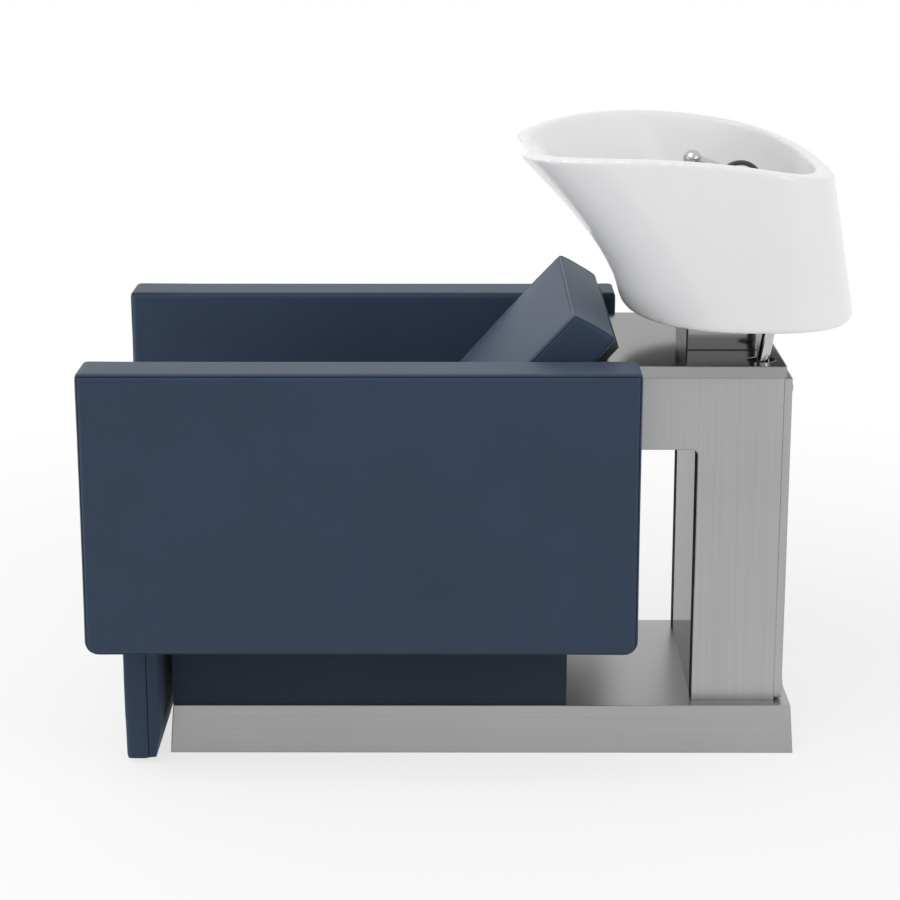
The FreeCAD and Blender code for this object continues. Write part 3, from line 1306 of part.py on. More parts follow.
def shower_socket():
    """Chrome cup in the deck that the hand shower parks in."""
    floor = shower_end_z - SOCKET_FLOOR - CLEAR
    flange = rod(SOCKET_FLANGE_R, (shower_x, HOSE_Y, deck_z), SOCKET_FLANGE_H)
    cup = rod(socket_outer(), (shower_x, HOSE_Y, floor), deck_z - floor)
    depth = deck_z - floor + SOCKET_FLANGE_H
    bore = rod(socket_outer() - SOCKET_WALL, (shower_x, HOSE_Y, floor + SOCKET_FLOOR), depth)
    drain = rod(SOCKET_DRAIN_R, (shower_x, HOSE_Y, floor - 1), SOCKET_FLOOR + 2)
    return fused([flange, cup]).cut(bore).cut(drain)


def conduit_x(z):
    """Middle of the leaning conduit at a height."""
    return conduit_foot_x + (z - LID_TOP_Z) * math.tan(math.radians(CONDUIT_LEAN))


def supply_conduit():
    """Chrome tube that leads both water hoses up under the basin."""
    low = V(conduit_x(conduit_low_z), CONDUIT_Y, conduit_low_z)
    high = V(conduit_x(conduit_high_z), CONDUIT_Y, conduit_high_z)
    return pipe(CONDUIT_R, CONDUIT_WALL, tuple(low), (high - low).Length, high - low)


def water_hose_upper(side, level):
    """One water hose from the conduit's foot, behind the shower socket, to the mixer's shank."""
    y = CONDUIT_Y + side * (WATER_R + WATER_GAP / 2)
    low, turn = conduit_low_z, conduit_high_z + WATER_BENDS[0]
    end_y = MIXER_Y + side * (WATER_R + WATER_GAP / 2)
    end_x = mixer_x + MIXER_SHANK_R
    z = water_level_z + level * WATER_DROP
    turns = [pedestal_x + x for x in WATER_ROUTE_X]
    route = [
        (conduit_x(low), y, low), (conduit_x(turn), y, turn), (turns[0], y + WATER_ROUTE_IN, z),
        (turns[1], 0.0, z), (turns[2], end_y - WATER_ROUTE_IN, z), (turns[3], end_y, z),
        (end_x, end_y, z),
    ]
    hose, length, radii = swept(route, WATER_R, WATER_BENDS)
    print("water hose: length", round(length, 1), "radii", [round(r, 1) for r in radii])
    return hose


def water_hoses_upper():
    """Hot and cold hoses that travel with the basin."""
    return Part.makeCompound([water_hose_upper(-1, 0.5), water_hose_upper(1, -0.5)])


def water_hose_lower(side):
    """One water hose inside the column, from its valve up to the conduit."""
    y = CONDUIT_Y + side * (WATER_R + WATER_GAP / 2)
    valve_x, valve_y = valve_places()[0 if side < 0 else 1]
    top_x = conduit_x(conduit_low_z)
    drop, high, middle, low = WATER_FALL
    lean = drop * math.tan(math.radians(CONDUIT_LEAN))
    route = [
        (top_x, y, conduit_low_z), (top_x - lean, y, conduit_low_z - drop),
        (valve_x + WATER_BOW, valve_y * 0.4 + y * 0.6, VALVE_TOP_Z + high),
        (valve_x + WATER_BOW, valve_y, VALVE_TOP_Z + middle), (valve_x, valve_y, VALVE_TOP_Z + low),
        (valve_x, valve_y, VALVE_TOP_Z),
    ]
    return swept(route, WATER_R)[0]


def water_hoses_lower():
    """Hot and cold hoses that stay in the column."""
    return Part.makeCompound([water_hose_lower(-1), water_hose_lower(1)])


def supply_valves():
    """Stop valves on the bracket, with threaded tails for the building's pipes."""
    low = BASE_HEIGHT + FOOT_PLATE + BRACKET_THICK
    valves = []
    for x, y in valve_places():
        body = rod(VALVE_R, (x, y, low), VALVE_H)
        neck = rod(WATER_R + 2.0, (x, y, low + VALVE_H), VALVE_TOP_Z - low - VALVE_H)
        tail = rod(INLET_THREAD_R, (x, y, INLET_END_Z), low - INLET_END_Z)
        stock_z = INLET_END_Z + SPIGOT_LENGTH
        stock = rod(INLET_THREAD_R + SPIGOT_STEP, (x, y, stock_z), low - stock_z)
        valves.append(fused([body, neck, tail, stock]))
    return Part.makeCompound(valves)


NODES = {
    "base_cover": base_cover,
    "base_frame": base_frame,
    "levelling_feet": levelling_feet,
    "foot_locknuts": foot_locknuts,
    "seat_plinth": seat_plinth,
    "seat_frame": seat_frame,
    "seat_board": seat_board,
    "seat_cushion": seat_cushion,
    "arm_right": arm,
    "arm_left": lambda: mirrored(arm()),
    "arm_bolts": arm_bolts,
    "backrest_pad": backrest_pad,
    "backrest_board": backrest_board,
    "backrest_struts": backrest_struts,
    "back_panel": back_panel,
    "legrest_board": legrest_board,
    "legrest_pad": legrest_pad,
    "hinge_leaves_fixed": fixed_leaves,
    "hinge_leaves_moving": moving_leaves,
    "hinge_pins": hinge_pins,
    "hinge_screws_fixed": lambda: hinge_screws(frame_front, 1),
    "hinge_screws_moving": lambda: hinge_screws(leg_back, -1),
    "column_side_right": column_side,
    "column_side_left": lambda: mirrored(column_side()),
    "column_front_panel": front_panel,
    "beam_panel": beam_panel,
    "top_plate": lid,
    "access_door": access_door,
    "door_screws": door_screws,
    "column_frame": column_frame,
    "pedestal": pedestal,
    "pedestal_bolts": pedestal_bolts,
    "tilt_pins": tilt_pins,
    "tilt_washers": tilt_washers,
    "tilt_bushes": tilt_bushes,
    "basin_carrier": basin_carrier,
    "carrier_bolts": carrier_bolts,
    "basin": basin,
    "drain_flange": drain_flange,
    "drain_nut": drain_nut,
    "drain_strainer": drain_strainer,
    "waste_elbow": waste_elbow,
    "waste_hose": waste_hose,
    "waste_outlet": waste_outlet,
    "mixer_body": mixer_body,
    "mixer_nut": mixer_nut,
    "mixer_cap": mixer_cap,
    "mixer_lever": mixer_lever,
    "lever_pin": lever_pin,
    "hose_guide": hose_guide,
    "shower_hose": shower_hose,
    "shower_hose_tail": hose_tail,
    "hand_shower": hand_shower,
    "spray_plate": spray_plate,
    "shower_socket": shower_socket,
    "supply_conduit": supply_conduit,
    "water_hoses_upper": water_hoses_upper,
    "water_hoses_lower": water_hoses_lower,
    "supply_valves": supply_valves,
    "service_bracket": service_bracket,
}


def main():
    """Makes every piece and writes one file for each."""
    os.makedirs("parts", exist_ok=True)
    for name, make in NODES.items():
        shape = make()
        if not shape.isValid() or shape.Volume <= 0:
            print("not a valid solid:", name)
        shape.exportStep(f"parts/{name}.step")


main()
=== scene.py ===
"""Looks of a salon backwash unit: a padded chair, a steel column and a tilting ceramic basin.

Metres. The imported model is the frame: +Z up, X along the unit towards the basin, Y across it.
"""

from __future__ import annotations

import json
import logging
import math
from abc import ABC, abstractmethod
from collections.abc import Sequence
from dataclasses import dataclass, field
from enum import Enum

import bmesh
import bpy
from bpy.types import Material, Mesh, Node, NodeSocket, NodeTree, Object
from mathutils import Euler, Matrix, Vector
from mathutils.bvhtree import BVHTree
from mathutils.geometry import convex_hull_2d
from mathutils.kdtree import KDTree

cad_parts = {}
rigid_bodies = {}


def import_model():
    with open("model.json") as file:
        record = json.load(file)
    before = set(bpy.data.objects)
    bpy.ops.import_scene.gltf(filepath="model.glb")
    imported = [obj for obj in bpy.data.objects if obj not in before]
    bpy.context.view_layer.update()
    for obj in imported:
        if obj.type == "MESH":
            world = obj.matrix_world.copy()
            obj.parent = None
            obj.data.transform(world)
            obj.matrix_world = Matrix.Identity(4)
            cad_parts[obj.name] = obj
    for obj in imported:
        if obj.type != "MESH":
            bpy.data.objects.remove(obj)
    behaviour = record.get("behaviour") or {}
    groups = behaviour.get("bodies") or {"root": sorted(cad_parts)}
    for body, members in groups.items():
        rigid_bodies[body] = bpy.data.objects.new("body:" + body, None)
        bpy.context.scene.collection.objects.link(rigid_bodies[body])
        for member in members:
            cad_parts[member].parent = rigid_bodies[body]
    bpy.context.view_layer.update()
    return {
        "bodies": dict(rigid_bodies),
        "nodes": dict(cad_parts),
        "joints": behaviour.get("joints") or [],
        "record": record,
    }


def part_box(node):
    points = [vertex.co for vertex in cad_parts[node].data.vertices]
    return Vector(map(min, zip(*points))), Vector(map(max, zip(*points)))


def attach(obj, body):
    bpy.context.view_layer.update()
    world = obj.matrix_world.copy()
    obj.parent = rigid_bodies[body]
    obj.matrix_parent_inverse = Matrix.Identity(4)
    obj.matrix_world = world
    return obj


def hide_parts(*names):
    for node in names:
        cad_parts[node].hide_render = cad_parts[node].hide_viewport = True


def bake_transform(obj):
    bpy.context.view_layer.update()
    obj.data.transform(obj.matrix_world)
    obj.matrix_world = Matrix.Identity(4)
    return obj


LOG = logging.getLogger("backwash")
Point = tuple[float, float, float]
Colour = tuple[float, float, float]
Span = tuple[float, float]
Feeds = dict[str | int, object]


class Body(Enum):
    """Moving bodies of the frame."""

    FRAME = "frame"
    LEGREST = "legrest"
    BASIN = "basin_unit"
    SHOWER = "shower"


# ---- node trees


class Socket(Enum):
    """What a socket carries."""

    FLOAT = "NodeSocketFloat"
    VECTOR = "NodeSocketVector"
    COLOUR = "NodeSocketColor"
    GEOMETRY = "NodeSocketGeometry"


class Wiring:
    """A node tree under construction."""

    def __init__(self, tree: NodeTree) -> None:
        """Hold the tree."""
        self.tree = tree

    def feed(self, node: Node, feeds: Feeds) -> None:
        """Feed a node's inputs.

        Args:
            node: the node.
            feeds: name or index of an input, to the socket that feeds it or its constant.
        """
        for label, value in feeds.items():
            if isinstance(value, NodeSocket):
                self.tree.links.new(value, node.inputs[label])
            else:
                node.inputs[label].default_value = value

    def node(self, kind: str, feeds: Feeds | None = None, **settings: object) -> Node:
        """Add a node.

        Args:
            kind: type of the node.
            feeds: what its inputs get, as in feed.
            **settings: properties of the node.

        Returns:
            The node.
        """
        made = self.tree.nodes.new(kind)
        for label, value in settings.items():
            setattr(made, label, value)
        self.feed(made, feeds or {})
        return made

    def out(self, kind: str, label: str, *feeds: Feeds, **settings: object) -> NodeSocket:
        """One output of a new node."""
        return self.node(kind, *feeds, **settings).outputs[label]

    def math(self, operation: str, *feeds: object) -> NodeSocket:
        """Result of a Math node, fed in the order of its inputs."""
        return self.out("ShaderNodeMath", "Value", dict(enumerate(feeds)), operation=operation)

    def scaled(self, colour: NodeSocket, by: NodeSocket) -> NodeSocket:
        """A colour times a factor."""
        feeds = {0: colour, "Scale": by}
        return self.out("ShaderNodeVectorMath", "Vector", feeds, operation="SCALE")

    def ranged(
        self, value: NodeSocket, start: Span = (0.0, 1.0), end: Sequence[object] = (0.0, 1.0),
        eased: bool = False,
    ) -> NodeSocket:
        """Map one range of values to another.

        Args:
            value: socket that puts out the value.
            start: range that it comes from.
            end: range that it goes to, as numbers or sockets.
            eased: whether the change is slow at both ends.

        Returns:
            The mapped value.
        """
        labels = ("Value", "From Min", "From Max", "To Min", "To Max")
        feeds = dict(zip(labels, (value, *start, *end)))
        way = "SMOOTHSTEP" if eased else "LINEAR"
        return self.out("ShaderNodeMapRange", "Result", feeds, interpolation_type=way)

    def seen(self) -> NodeSocket:
        """1 on rays from the camera and in reflections, 0 on all others."""
        path = self.node("ShaderNodeLightPath").outputs
        return self.math("MAXIMUM", path["Is Camera Ray"], path["Is Glossy Ray"])


class Group(Wiring):
    """A shader node group under construction, with named inputs and outputs."""

    kind = "ShaderNodeTree"

    def __init__(
        self, name: str, inputs: dict[str, Socket | float], outputs: dict[str, Socket]
    ) -> None:
        """Make the group's sockets.

        Args:
            name: name of the group.
            inputs: socket name to what it carries, or to a size as its default.
            outputs: socket name to what it carries.
        """
        super().__init__(bpy.data.node_groups.new(name, self.kind))
        face = self.tree.interface
        for label, given in inputs.items():
            carried = given if isinstance(given, Socket) else Socket.FLOAT
            socket = face.new_socket(label, in_out="INPUT", socket_type=carried.value)
            if carried is not given:
                socket.default_value = given
        for label, carried in outputs.items():
            face.new_socket(label, in_out="OUTPUT", socket_type=carried.value)
        self.inlet = self.node("NodeGroupInput").outputs
        self.outlet = self.node("NodeGroupOutput")


class GeometryGroup(Group):
    """A geometry node group under construction."""

    kind = "GeometryNodeTree"


NOISE_MIDDLE: Span = (0.3, 0.7)


def mottle_group() -> NodeTree:
    """Slow change of a colour over a surface.

    Returns:
        Group with inputs Vector, Color, Scale and Amount, and output Color.
    """
    inputs = {"Vector": Socket.VECTOR, "Color": Socket.COLOUR}
    inputs |= {"Scale": Socket.FLOAT, "Amount": Socket.FLOAT}
    group = Group("Mottle", inputs, {"Color": Socket.COLOUR})
    inlet = group.inlet
    feeds = {"Vector": inlet["Vector"], "Scale": inlet["Scale"], "Detail": 4.0}
    noise = group.out("ShaderNodeTexNoise", "Fac", feeds)
    ends = [group.math(way, 1.0, inlet["Amount"]) for way in ("SUBTRACT", "ADD")]
    level = group.ranged(noise, NOISE_MIDDLE, ends)
    group.feed(group.outlet, {"Color": group.scaled(inlet["Color"], level)})
    return group.tree


def grain_group() -> NodeTree:
    """Pebbled grain of a moulded skin or cover.

    Returns:
        Group with inputs Vector and Scale, and outputs Height and Crease.
    """
    pebble_edge: Span = (0.0, 0.35)
    fine = {"Scale": 260.0, "Detail": 3.0}
    fine_share = 0.6
    inputs = {"Vector": Socket.VECTOR, "Scale": Socket.FLOAT}
    group = Group("Grain", inputs, {"Height": Socket.FLOAT, "Crease": Socket.FLOAT})
    inlet = group.inlet
    feeds = {"Vector": inlet["Vector"], "Scale": inlet["Scale"]}
    cells = group.out("ShaderNodeTexVoronoi", "Distance", feeds, feature="DISTANCE_TO_EDGE")
    pebbles = group.ranged(cells, pebble_edge, eased=True)
    noise = group.out("ShaderNodeTexNoise", "Fac", {"Vector": inlet["Vector"], **fine})
    height = group.math("MULTIPLY_ADD", noise, fine_share, pebbles)
    group.feed(group.outlet, {"Height": height, "Crease": pebbles})
    return group.tree


def brush_group() -> NodeTree:
    """Fine lines along a surface.

    Returns:
        Group with inputs Vector, Stretch, Roughness and Spread, and outputs Roughness,
        Height and Shade.
    """
    inputs = {"Vector": Socket.VECTOR, "Stretch": Socket.VECTOR}
    inputs |= {"Roughness": Socket.FLOAT, "Spread": Socket.FLOAT}
    outputs = {label: Socket.FLOAT for label in ("Roughness", "Height", "Shade")}
    group = Group("Brush", inputs, outputs)
    inlet = group.inlet
    feeds = {0: inlet["Vector"], 1: inlet["Stretch"]}
    stretched = group.out("ShaderNodeVectorMath", "Vector", feeds, operation="MULTIPLY")
    feeds = {"Vector": stretched, "Scale": 1.0, "Detail": 4.0}
    lines = group.out("ShaderNodeTexNoise", "Fac", feeds)
    shade = group.ranged(lines, NOISE_MIDDLE)
    rough = group.math("MULTIPLY_ADD", shade, inlet["Spread"], inlet["Roughness"])
    group.feed(group.outlet, {"Roughness": rough, "Height": lines, "Shade": shade})
    return group.tree


class Groups:
    """The shader groups that the finishes share, each built once."""

    def __init__(self) -> None:
        """Build every group."""
        self.mottle = mottle_group()
        self.grain = grain_group()
        self.brush = brush_group()


# ---- finishes


class Along(Enum):
    """Way that a surface's lines run, as the stretch of their noise."""

    LENGTH = (2.0, 700.0, 700.0)
    HEIGHT = (700.0, 700.0, 2.0)
    BOARD = (4.0, 180.0, 180.0)


@dataclass(frozen=True)
class Grain:
    """Pebbled grain: cells to the metre, their depth and how much of it shows."""

    scale: float
    depth: float
    strength: float = 0.15


def opaque(colour: Colour) -> tuple[float, float, float, float]:
    """Colour with full alpha."""
    return (*colour, 1.0)


class Surface(Wiring):
    """One material under construction: a Principled BSDF and what feeds it."""

    fold_samples = 6

    def __init__(self, name: str, groups: Groups) -> None:
        """Start the material with object coordinates at hand.

        Args:
            name: name of the material.
            groups: the shared shader groups.
        """
        self.material = bpy.data.materials.new(name)
        self.material.use_nodes = True
        super().__init__(self.material.node_tree)
        self.groups = groups
        self.bsdf = self.tree.nodes["Principled BSDF"]
        self.coords = self.out("ShaderNodeTexCoord", "Object")

    def look(self, **feeds: object) -> None:
        """Feed the BSDF, with underscores for spaces in its inputs' names."""
        self.feed(self.bsdf, {label.replace("_", " "): value for label, value in feeds.items()})

    def group(self, tree: NodeTree, **feeds: object) -> bpy.types.NodeOutputs:
        """Outputs of a shader group on the object coordinates."""
        feeds["Vector"] = self.coords
        return self.node("ShaderNodeGroup", feeds, node_tree=tree).outputs

    def mottled(self, colour: Colour, mottle: Span) -> NodeSocket:
        """Colour that changes slowly, by a mottle's scale and amount."""
        scale, amount = mottle
        made = self.group(self.groups.mottle, Color=opaque(colour), Scale=scale, Amount=amount)
        return made["Color"]

    def grained(self, grain: Grain, rough: Span) -> None:
        """Give the surface a pebbled grain.

        Args:
            grain: the grain.
            rough: roughness in its creases and on its pebbles.
        """
        made = self.group(self.groups.grain, Scale=grain.scale)
        self.look(Roughness=self.ranged(made["Crease"], end=rough))
        self.bump(made["Height"], grain.strength, grain.depth)

    def bump(self, height: NodeSocket, strength: float, depth: float, fold: float = 0.0) -> None:
        """Turn a height into the surface's normal.

        Args:
            height: socket with the height.
            strength: how much of it shows, 0 to 1.
            depth: its real depth in metres.
            fold: radius in metres that the shading gives to sharp edges.
        """
        feeds = {"Height": height, "Strength": strength, "Distance": depth}
        if fold:
            bend = self.node("ShaderNodeBevel", {"Radius": fold}, samples=self.fold_samples)
            feeds["Normal"] = bend.outputs["Normal"]
        self.look(Normal=self.out("ShaderNodeBump", "Normal", feeds))


@dataclass(frozen=True)
class Finish(ABC):
    """A finish of one colour. Its mottle is the scale and amount of the colour's change."""

    name: str
    colour: Colour

    def material(self, groups: Groups) -> Material:
        """Build the material.

        Args:
            groups: the shared shader groups.

        Returns:
            The finish's material.
        """
        surface = Surface(self.name, groups)
        self.paint(surface)
        return surface.material

    @abstractmethod
    def paint(self, surface: Surface) -> None:
        """Feed the inputs of a surface."""


SHEEN_BLUE = (0.70, 0.84, 1.0)


@dataclass(frozen=True)
class Cover(Finish):
    """Grained upholstery cover."""

    roughness: float = 0.46
    specular: float = 0.3
    sheen: float = 0.1
    crease_roughness: float = 0.12
    mottle: Span = (7.0, 0.06)
    grain: Grain = Grain(1100.0, 0.00016, strength=0.35)

    def paint(self, surface: Surface) -> None:
        """Give the surface a grain under a faint blue sheen.

        Args:
            surface: the material under construction.
        """
        blue = opaque(SHEEN_BLUE)
        surface.look(
            Base_Color=surface.mottled(self.colour, self.mottle),
            Specular_IOR_Level=self.specular, Specular_Tint=blue,
            Sheen_Weight=self.sheen, Sheen_Tint=blue,
        )
        surface.grained(self.grain, (self.roughness + self.crease_roughness, self.roughness))


@dataclass(frozen=True)
class Brushed(Finish):
    """Brushed metal sheet. Its shade is the range of its lines' brightness."""

    along: Along
    roughness: float = 0.3
    spread: float = 0.1
    edge_tint: float = 1.0
    metallic: float = 1.0
    mottle: Span = (3.0, 0.05)
    shade: Span = (0.93, 1.05)
    strength: float = 0.25
    depth: float = 0.00002
    fold: float = 0.003

    def paint(self, surface: Surface) -> None:
        """Draw the lines in the surface's colour, roughness and height.

        Args:
            surface: the material under construction.
        """
        lines = surface.group(
            surface.groups.brush, Stretch=self.along.value, Roughness=self.roughness,
            Spread=self.spread,
        )
        colour = surface.mottled(self.colour, self.mottle)
        surface.look(
            Base_Color=surface.scaled(colour, surface.ranged(lines["Shade"], end=self.shade)),
            Metallic=self.metallic, Specular_Tint=opaque((self.edge_tint,) * 3),
            Roughness=lines["Roughness"],
        )
        surface.bump(lines["Height"], self.strength, self.depth, self.fold)


@dataclass(frozen=True)
class Board(Brushed):
    """Plain board, with its long grain drawn as a brushed sheet's lines are."""

    along: Along = Along.BOARD
    roughness: float = 0.55
    spread: float = 0.2
    metallic: float = 0.0
    mottle: Span = (9.0, 0.2)
    shade: Span = (0.75, 1.1)
    strength: float = 0.3
    depth: float = 0.0002
    fold: float = 0.0


@dataclass(frozen=True)
class Glaze(Finish):
    """Vitreous white glaze over a fired body."""

    roughness: float = 0.2
    ior: float = 1.42
    coat: float = 0.15
    coat_roughness: float = 0.1
    mottle: Span = (5.0, 0.012)
    ripple_scale: float = 22.0
    ripple_strength: float = 0.08
    ripple_depth: float = 0.0012

    def paint(self, surface: Surface) -> None:
        """Give the surface a clear coat with slow ripples.

        Args:
            surface: the material under construction.
        """
        surface.look(
            Base_Color=surface.mottled(self.colour, self.mottle), Roughness=self.roughness,
            IOR=self.ior, Coat_Weight=self.coat, Coat_Roughness=self.coat_roughness,
        )
        feeds = {"Vector": surface.coords, "Scale": self.ripple_scale}
        ripple = surface.out("ShaderNodeTexNoise", "Fac", feeds)
        surface.bump(ripple, self.ripple_strength, self.ripple_depth)


@dataclass(frozen=True)
class Plate(Finish):
    """Bright plated metal."""

    roughness: float
    grain: Grain
    metallic: float = 1.0
    crease_factor: float = 1.3
    mottle: Span = (14.0, 0.03)

    def paint(self, surface: Surface) -> None:
        """Give the surface a fine grain."""
        surface.look(Base_Color=surface.mottled(self.colour, self.mottle), Metallic=self.metallic)
        surface.grained(self.grain, (self.roughness * self.crease_factor, self.roughness))


@dataclass(frozen=True)
class Coat(Plate):
    """Paint, plastic or rubber."""

    metallic: float = 0.0


NAVY = (0.0245, 0.0390, 0.0695)
PIPING = (0.045, 0.060, 0.092)

SLOT_FINISHES: dict[str, Finish] = {
    "leatherette": Cover("navy_cover", NAVY),
    "base_steel": Brushed("brushed_base", (0.37, 0.37, 0.372), Along.LENGTH),
    "steel_panel": Brushed("brushed_column", (0.40, 0.40, 0.403), Along.HEIGHT),
    "steel_polished": Brushed(
        "polished_front", (0.36, 0.36, 0.355), Along.HEIGHT,
        roughness=0.1, spread=0.05, edge_tint=0.45,
    ),
    "steel_satin": Brushed(
        "satin_lid", (0.31, 0.31, 0.307), Along.LENGTH,
        roughness=0.09, spread=0.05, edge_tint=0.7,
    ),
    "frame_paint": Coat("black_powder", (0.02, 0.02, 0.022), 0.45, Grain(700.0, 0.00006)),
    "foot_rubber": Coat("foot_rubber", (0.018, 0.018, 0.018), 0.7, Grain(400.0, 0.0001)),
    "zinc_steel": Plate("zinc_plate", (0.46, 0.46, 0.47), 0.28, Grain(350.0, 0.00001)),
    "plinth_dark": Cover("plinth_cover", (0.022, 0.028, 0.042), roughness=0.6, specular=0.2),
    "covered_board": Cover("board_cover", NAVY),
    "frame_wood": Board("stained_timber", (0.012, 0.012, 0.013)),
    "board_wood": Board("plywood", (0.36, 0.24, 0.13)),
    "bush_plastic": Coat("white_plastic", (0.72, 0.72, 0.70), 0.4, Grain(800.0, 0.00004)),
    "basin_ceramic": Glaze("white_glaze", (0.80, 0.80, 0.807)),
    "chrome": Plate("chrome", (0.50, 0.50, 0.515), 0.06, Grain(300.0, 0.000002)),
    "hose_grey": Coat("hose_cover", (0.035, 0.035, 0.04), 0.38, Grain(900.0, 0.00004)),
    "shower_black": Coat("shower_black", (0.014, 0.014, 0.016), 0.2, Grain(600.0, 0.00001)),
}


class SeamKind(Enum):
    """How a seam is made: the radius of its line, and how much of that stands proud. A plain
    seam's line is painted shadow, a near-black tube in its groove; a piped seam's line is the
    piping.
    """

    PLAIN = (0.0009, 0.3)
    PIPED = (0.0015, 0.6)


SEAM_FINISHES: dict[SeamKind, Finish] = {
    # plain seams: a near-black tube that paints the shadow in the seam's groove
    SeamKind.PLAIN: Cover("seam_shadow", (0.006, 0.008, 0.013), roughness=0.7, specular=0.1),
    SeamKind.PIPED: Cover("piping", PIPING, roughness=0.4),
}
THREAD = Coat("thread", PIPING, 0.6, Grain(2500.0, 0.00005))


# ---- mesh tools

MERGE_DISTANCE = 1e-5
HALF_WAY = 0.5
STEP_OUT = -0.53
FADE_WIDTHS = 3


def new_object(name: str, data: bpy.types.ID) -> Object:
    """Object at the origin that holds some data.

    Args:
        name: name of the object.
        data: its mesh, curve, light or camera.

    Returns:
        The object, linked to the scene.
    """
    made = bpy.data.objects.new(name, data)
    bpy.context.scene.collection.objects.link(made)
    return made


def object_of(name: str, shape: bmesh.types.BMesh) -> Object:
    """Object that holds a shape under construction, which is then freed.

    Args:
        name: name of the object and its mesh.
        shape: the shape.

    Returns:
        The object.
    """
    mesh = bpy.data.meshes.new(name)
    shape.to_mesh(mesh)
    shape.free()
    return new_object(name, mesh)


def solved(obj: Object) -> Mesh:
    """Mesh that an object's modifiers or its curve make."""
    graph = bpy.context.evaluated_depsgraph_get()
    return bpy.data.meshes.new_from_object(obj.evaluated_get(graph))


def mesh_of_curve(curve: bpy.types.Curve) -> Mesh:
    """Mesh that a curve makes.

    Args:
        curve: the curve.

    Returns:
        The mesh.
    """
    holder = new_object(curve.name, curve)
    mesh = solved(holder)
    bpy.data.objects.remove(holder)
    return mesh


def modify(obj: Object, kind: str, **settings: object) -> bpy.types.Modifier:
    """Add a modifier.

    Args:
        obj: the object.
        kind: type of the modifier.
        **settings: its properties.

    Returns:
        The modifier.
    """
    modifier = obj.modifiers.new(kind.lower(), kind)
    for label, value in settings.items():
        setattr(modifier, label, value)
    return modifier


def settle(obj: Object) -> None:
    """Replace an object's mesh by what its modifiers make of it, and drop them.

    Args:
        obj: the object.
    """
    mesh = solved(obj)
    obj.modifiers.clear()
    obj.data = mesh


def reshape(obj: Object, kind: str, **settings: object) -> None:
    """Apply one modifier to an object."""
    modify(obj, kind, **settings)
    settle(obj)


def soften(obj: Object, rounds: int) -> None:
    """Relax a mesh and keep its size: each step in has a step out after it.

    Args:
        obj: the mesh object.
        rounds: how many pairs of steps.
    """
    for factor in (HALF_WAY, STEP_OUT) * rounds:
        modify(obj, "SMOOTH", factor=factor, iterations=1)
    settle(obj)


def finish(obj: Object, material: Material) -> None:
    """Give an object one material and no other."""
    obj.data.materials.clear()
    obj.data.materials.append(material)


def smooth_shading(obj: Object) -> None:
    """Shade every face smooth."""
    obj.data.polygons.foreach_set("use_smooth", [True] * len(obj.data.polygons))


def sharp_points(obj: Object, least: float, step: float) -> list[Vector]:
    """Points along the sharp edges of a mesh.

    Args:
        obj: the mesh object.
        least: smallest angle, in radians, that counts as sharp.
        step: distance between points on one edge.

    Returns:
        The points.
    """
    shape = bmesh.new()
    shape.from_mesh(obj.data)
    points: list[Vector] = []
    for edge in shape.edges:
        if len(edge.link_faces) == 2 and edge.calc_face_angle() > least:
            points += dense([vertex.co.copy() for vertex in edge.verts], False, step)
    shape.free()
    return points


def dense(points: Sequence[Vector], closed: bool, step: float) -> list[Vector]:
    """Points at even short steps along a line of points.

    Args:
        points: corners of the line.
        closed: whether the last joins the first.
        step: greatest distance between the new points.

    Returns:
        The new points.
    """
    made: list[Vector] = []
    ends = list(points[1:]) + ([points[0]] if closed else [])
    for start, end in zip(points, ends):
        count = max(1, math.ceil((end - start).length / step))
        made += [start.lerp(end, i / count) for i in range(count)]
    return made if closed else made + [points[-1]]


def tree_of(points: Sequence[Vector]) -> KDTree:
    """Search tree over some points.

    Args:
        points: the points.

    Returns:
        The tree, ready to search.
    """
    tree = KDTree(len(points))
    for index, point in enumerate(points):
        tree.insert(point, index)
    tree.balance()
    return tree


def fades(
    vertices: Sequence[bpy.types.MeshVertex], points: Sequence[Vector], width: float
) -> list[float]:
    """Share of an effect at each vertex, which fades with its distance from some points.

    Args:
        vertices: the vertices.
        points: where the effect is full.
        width: distance at which it has faded to about a third.

    Returns:
        The shares, 0 where nothing is left.
    """
    tree = tree_of(points)
    distances = [tree.find(vertex.co)[2] for vertex in vertices]
    return [
        math.exp(-((distance / width) ** 2)) if distance < FADE_WIDTHS * width else 0.0
        for distance in distances
    ]


# ---- stitches


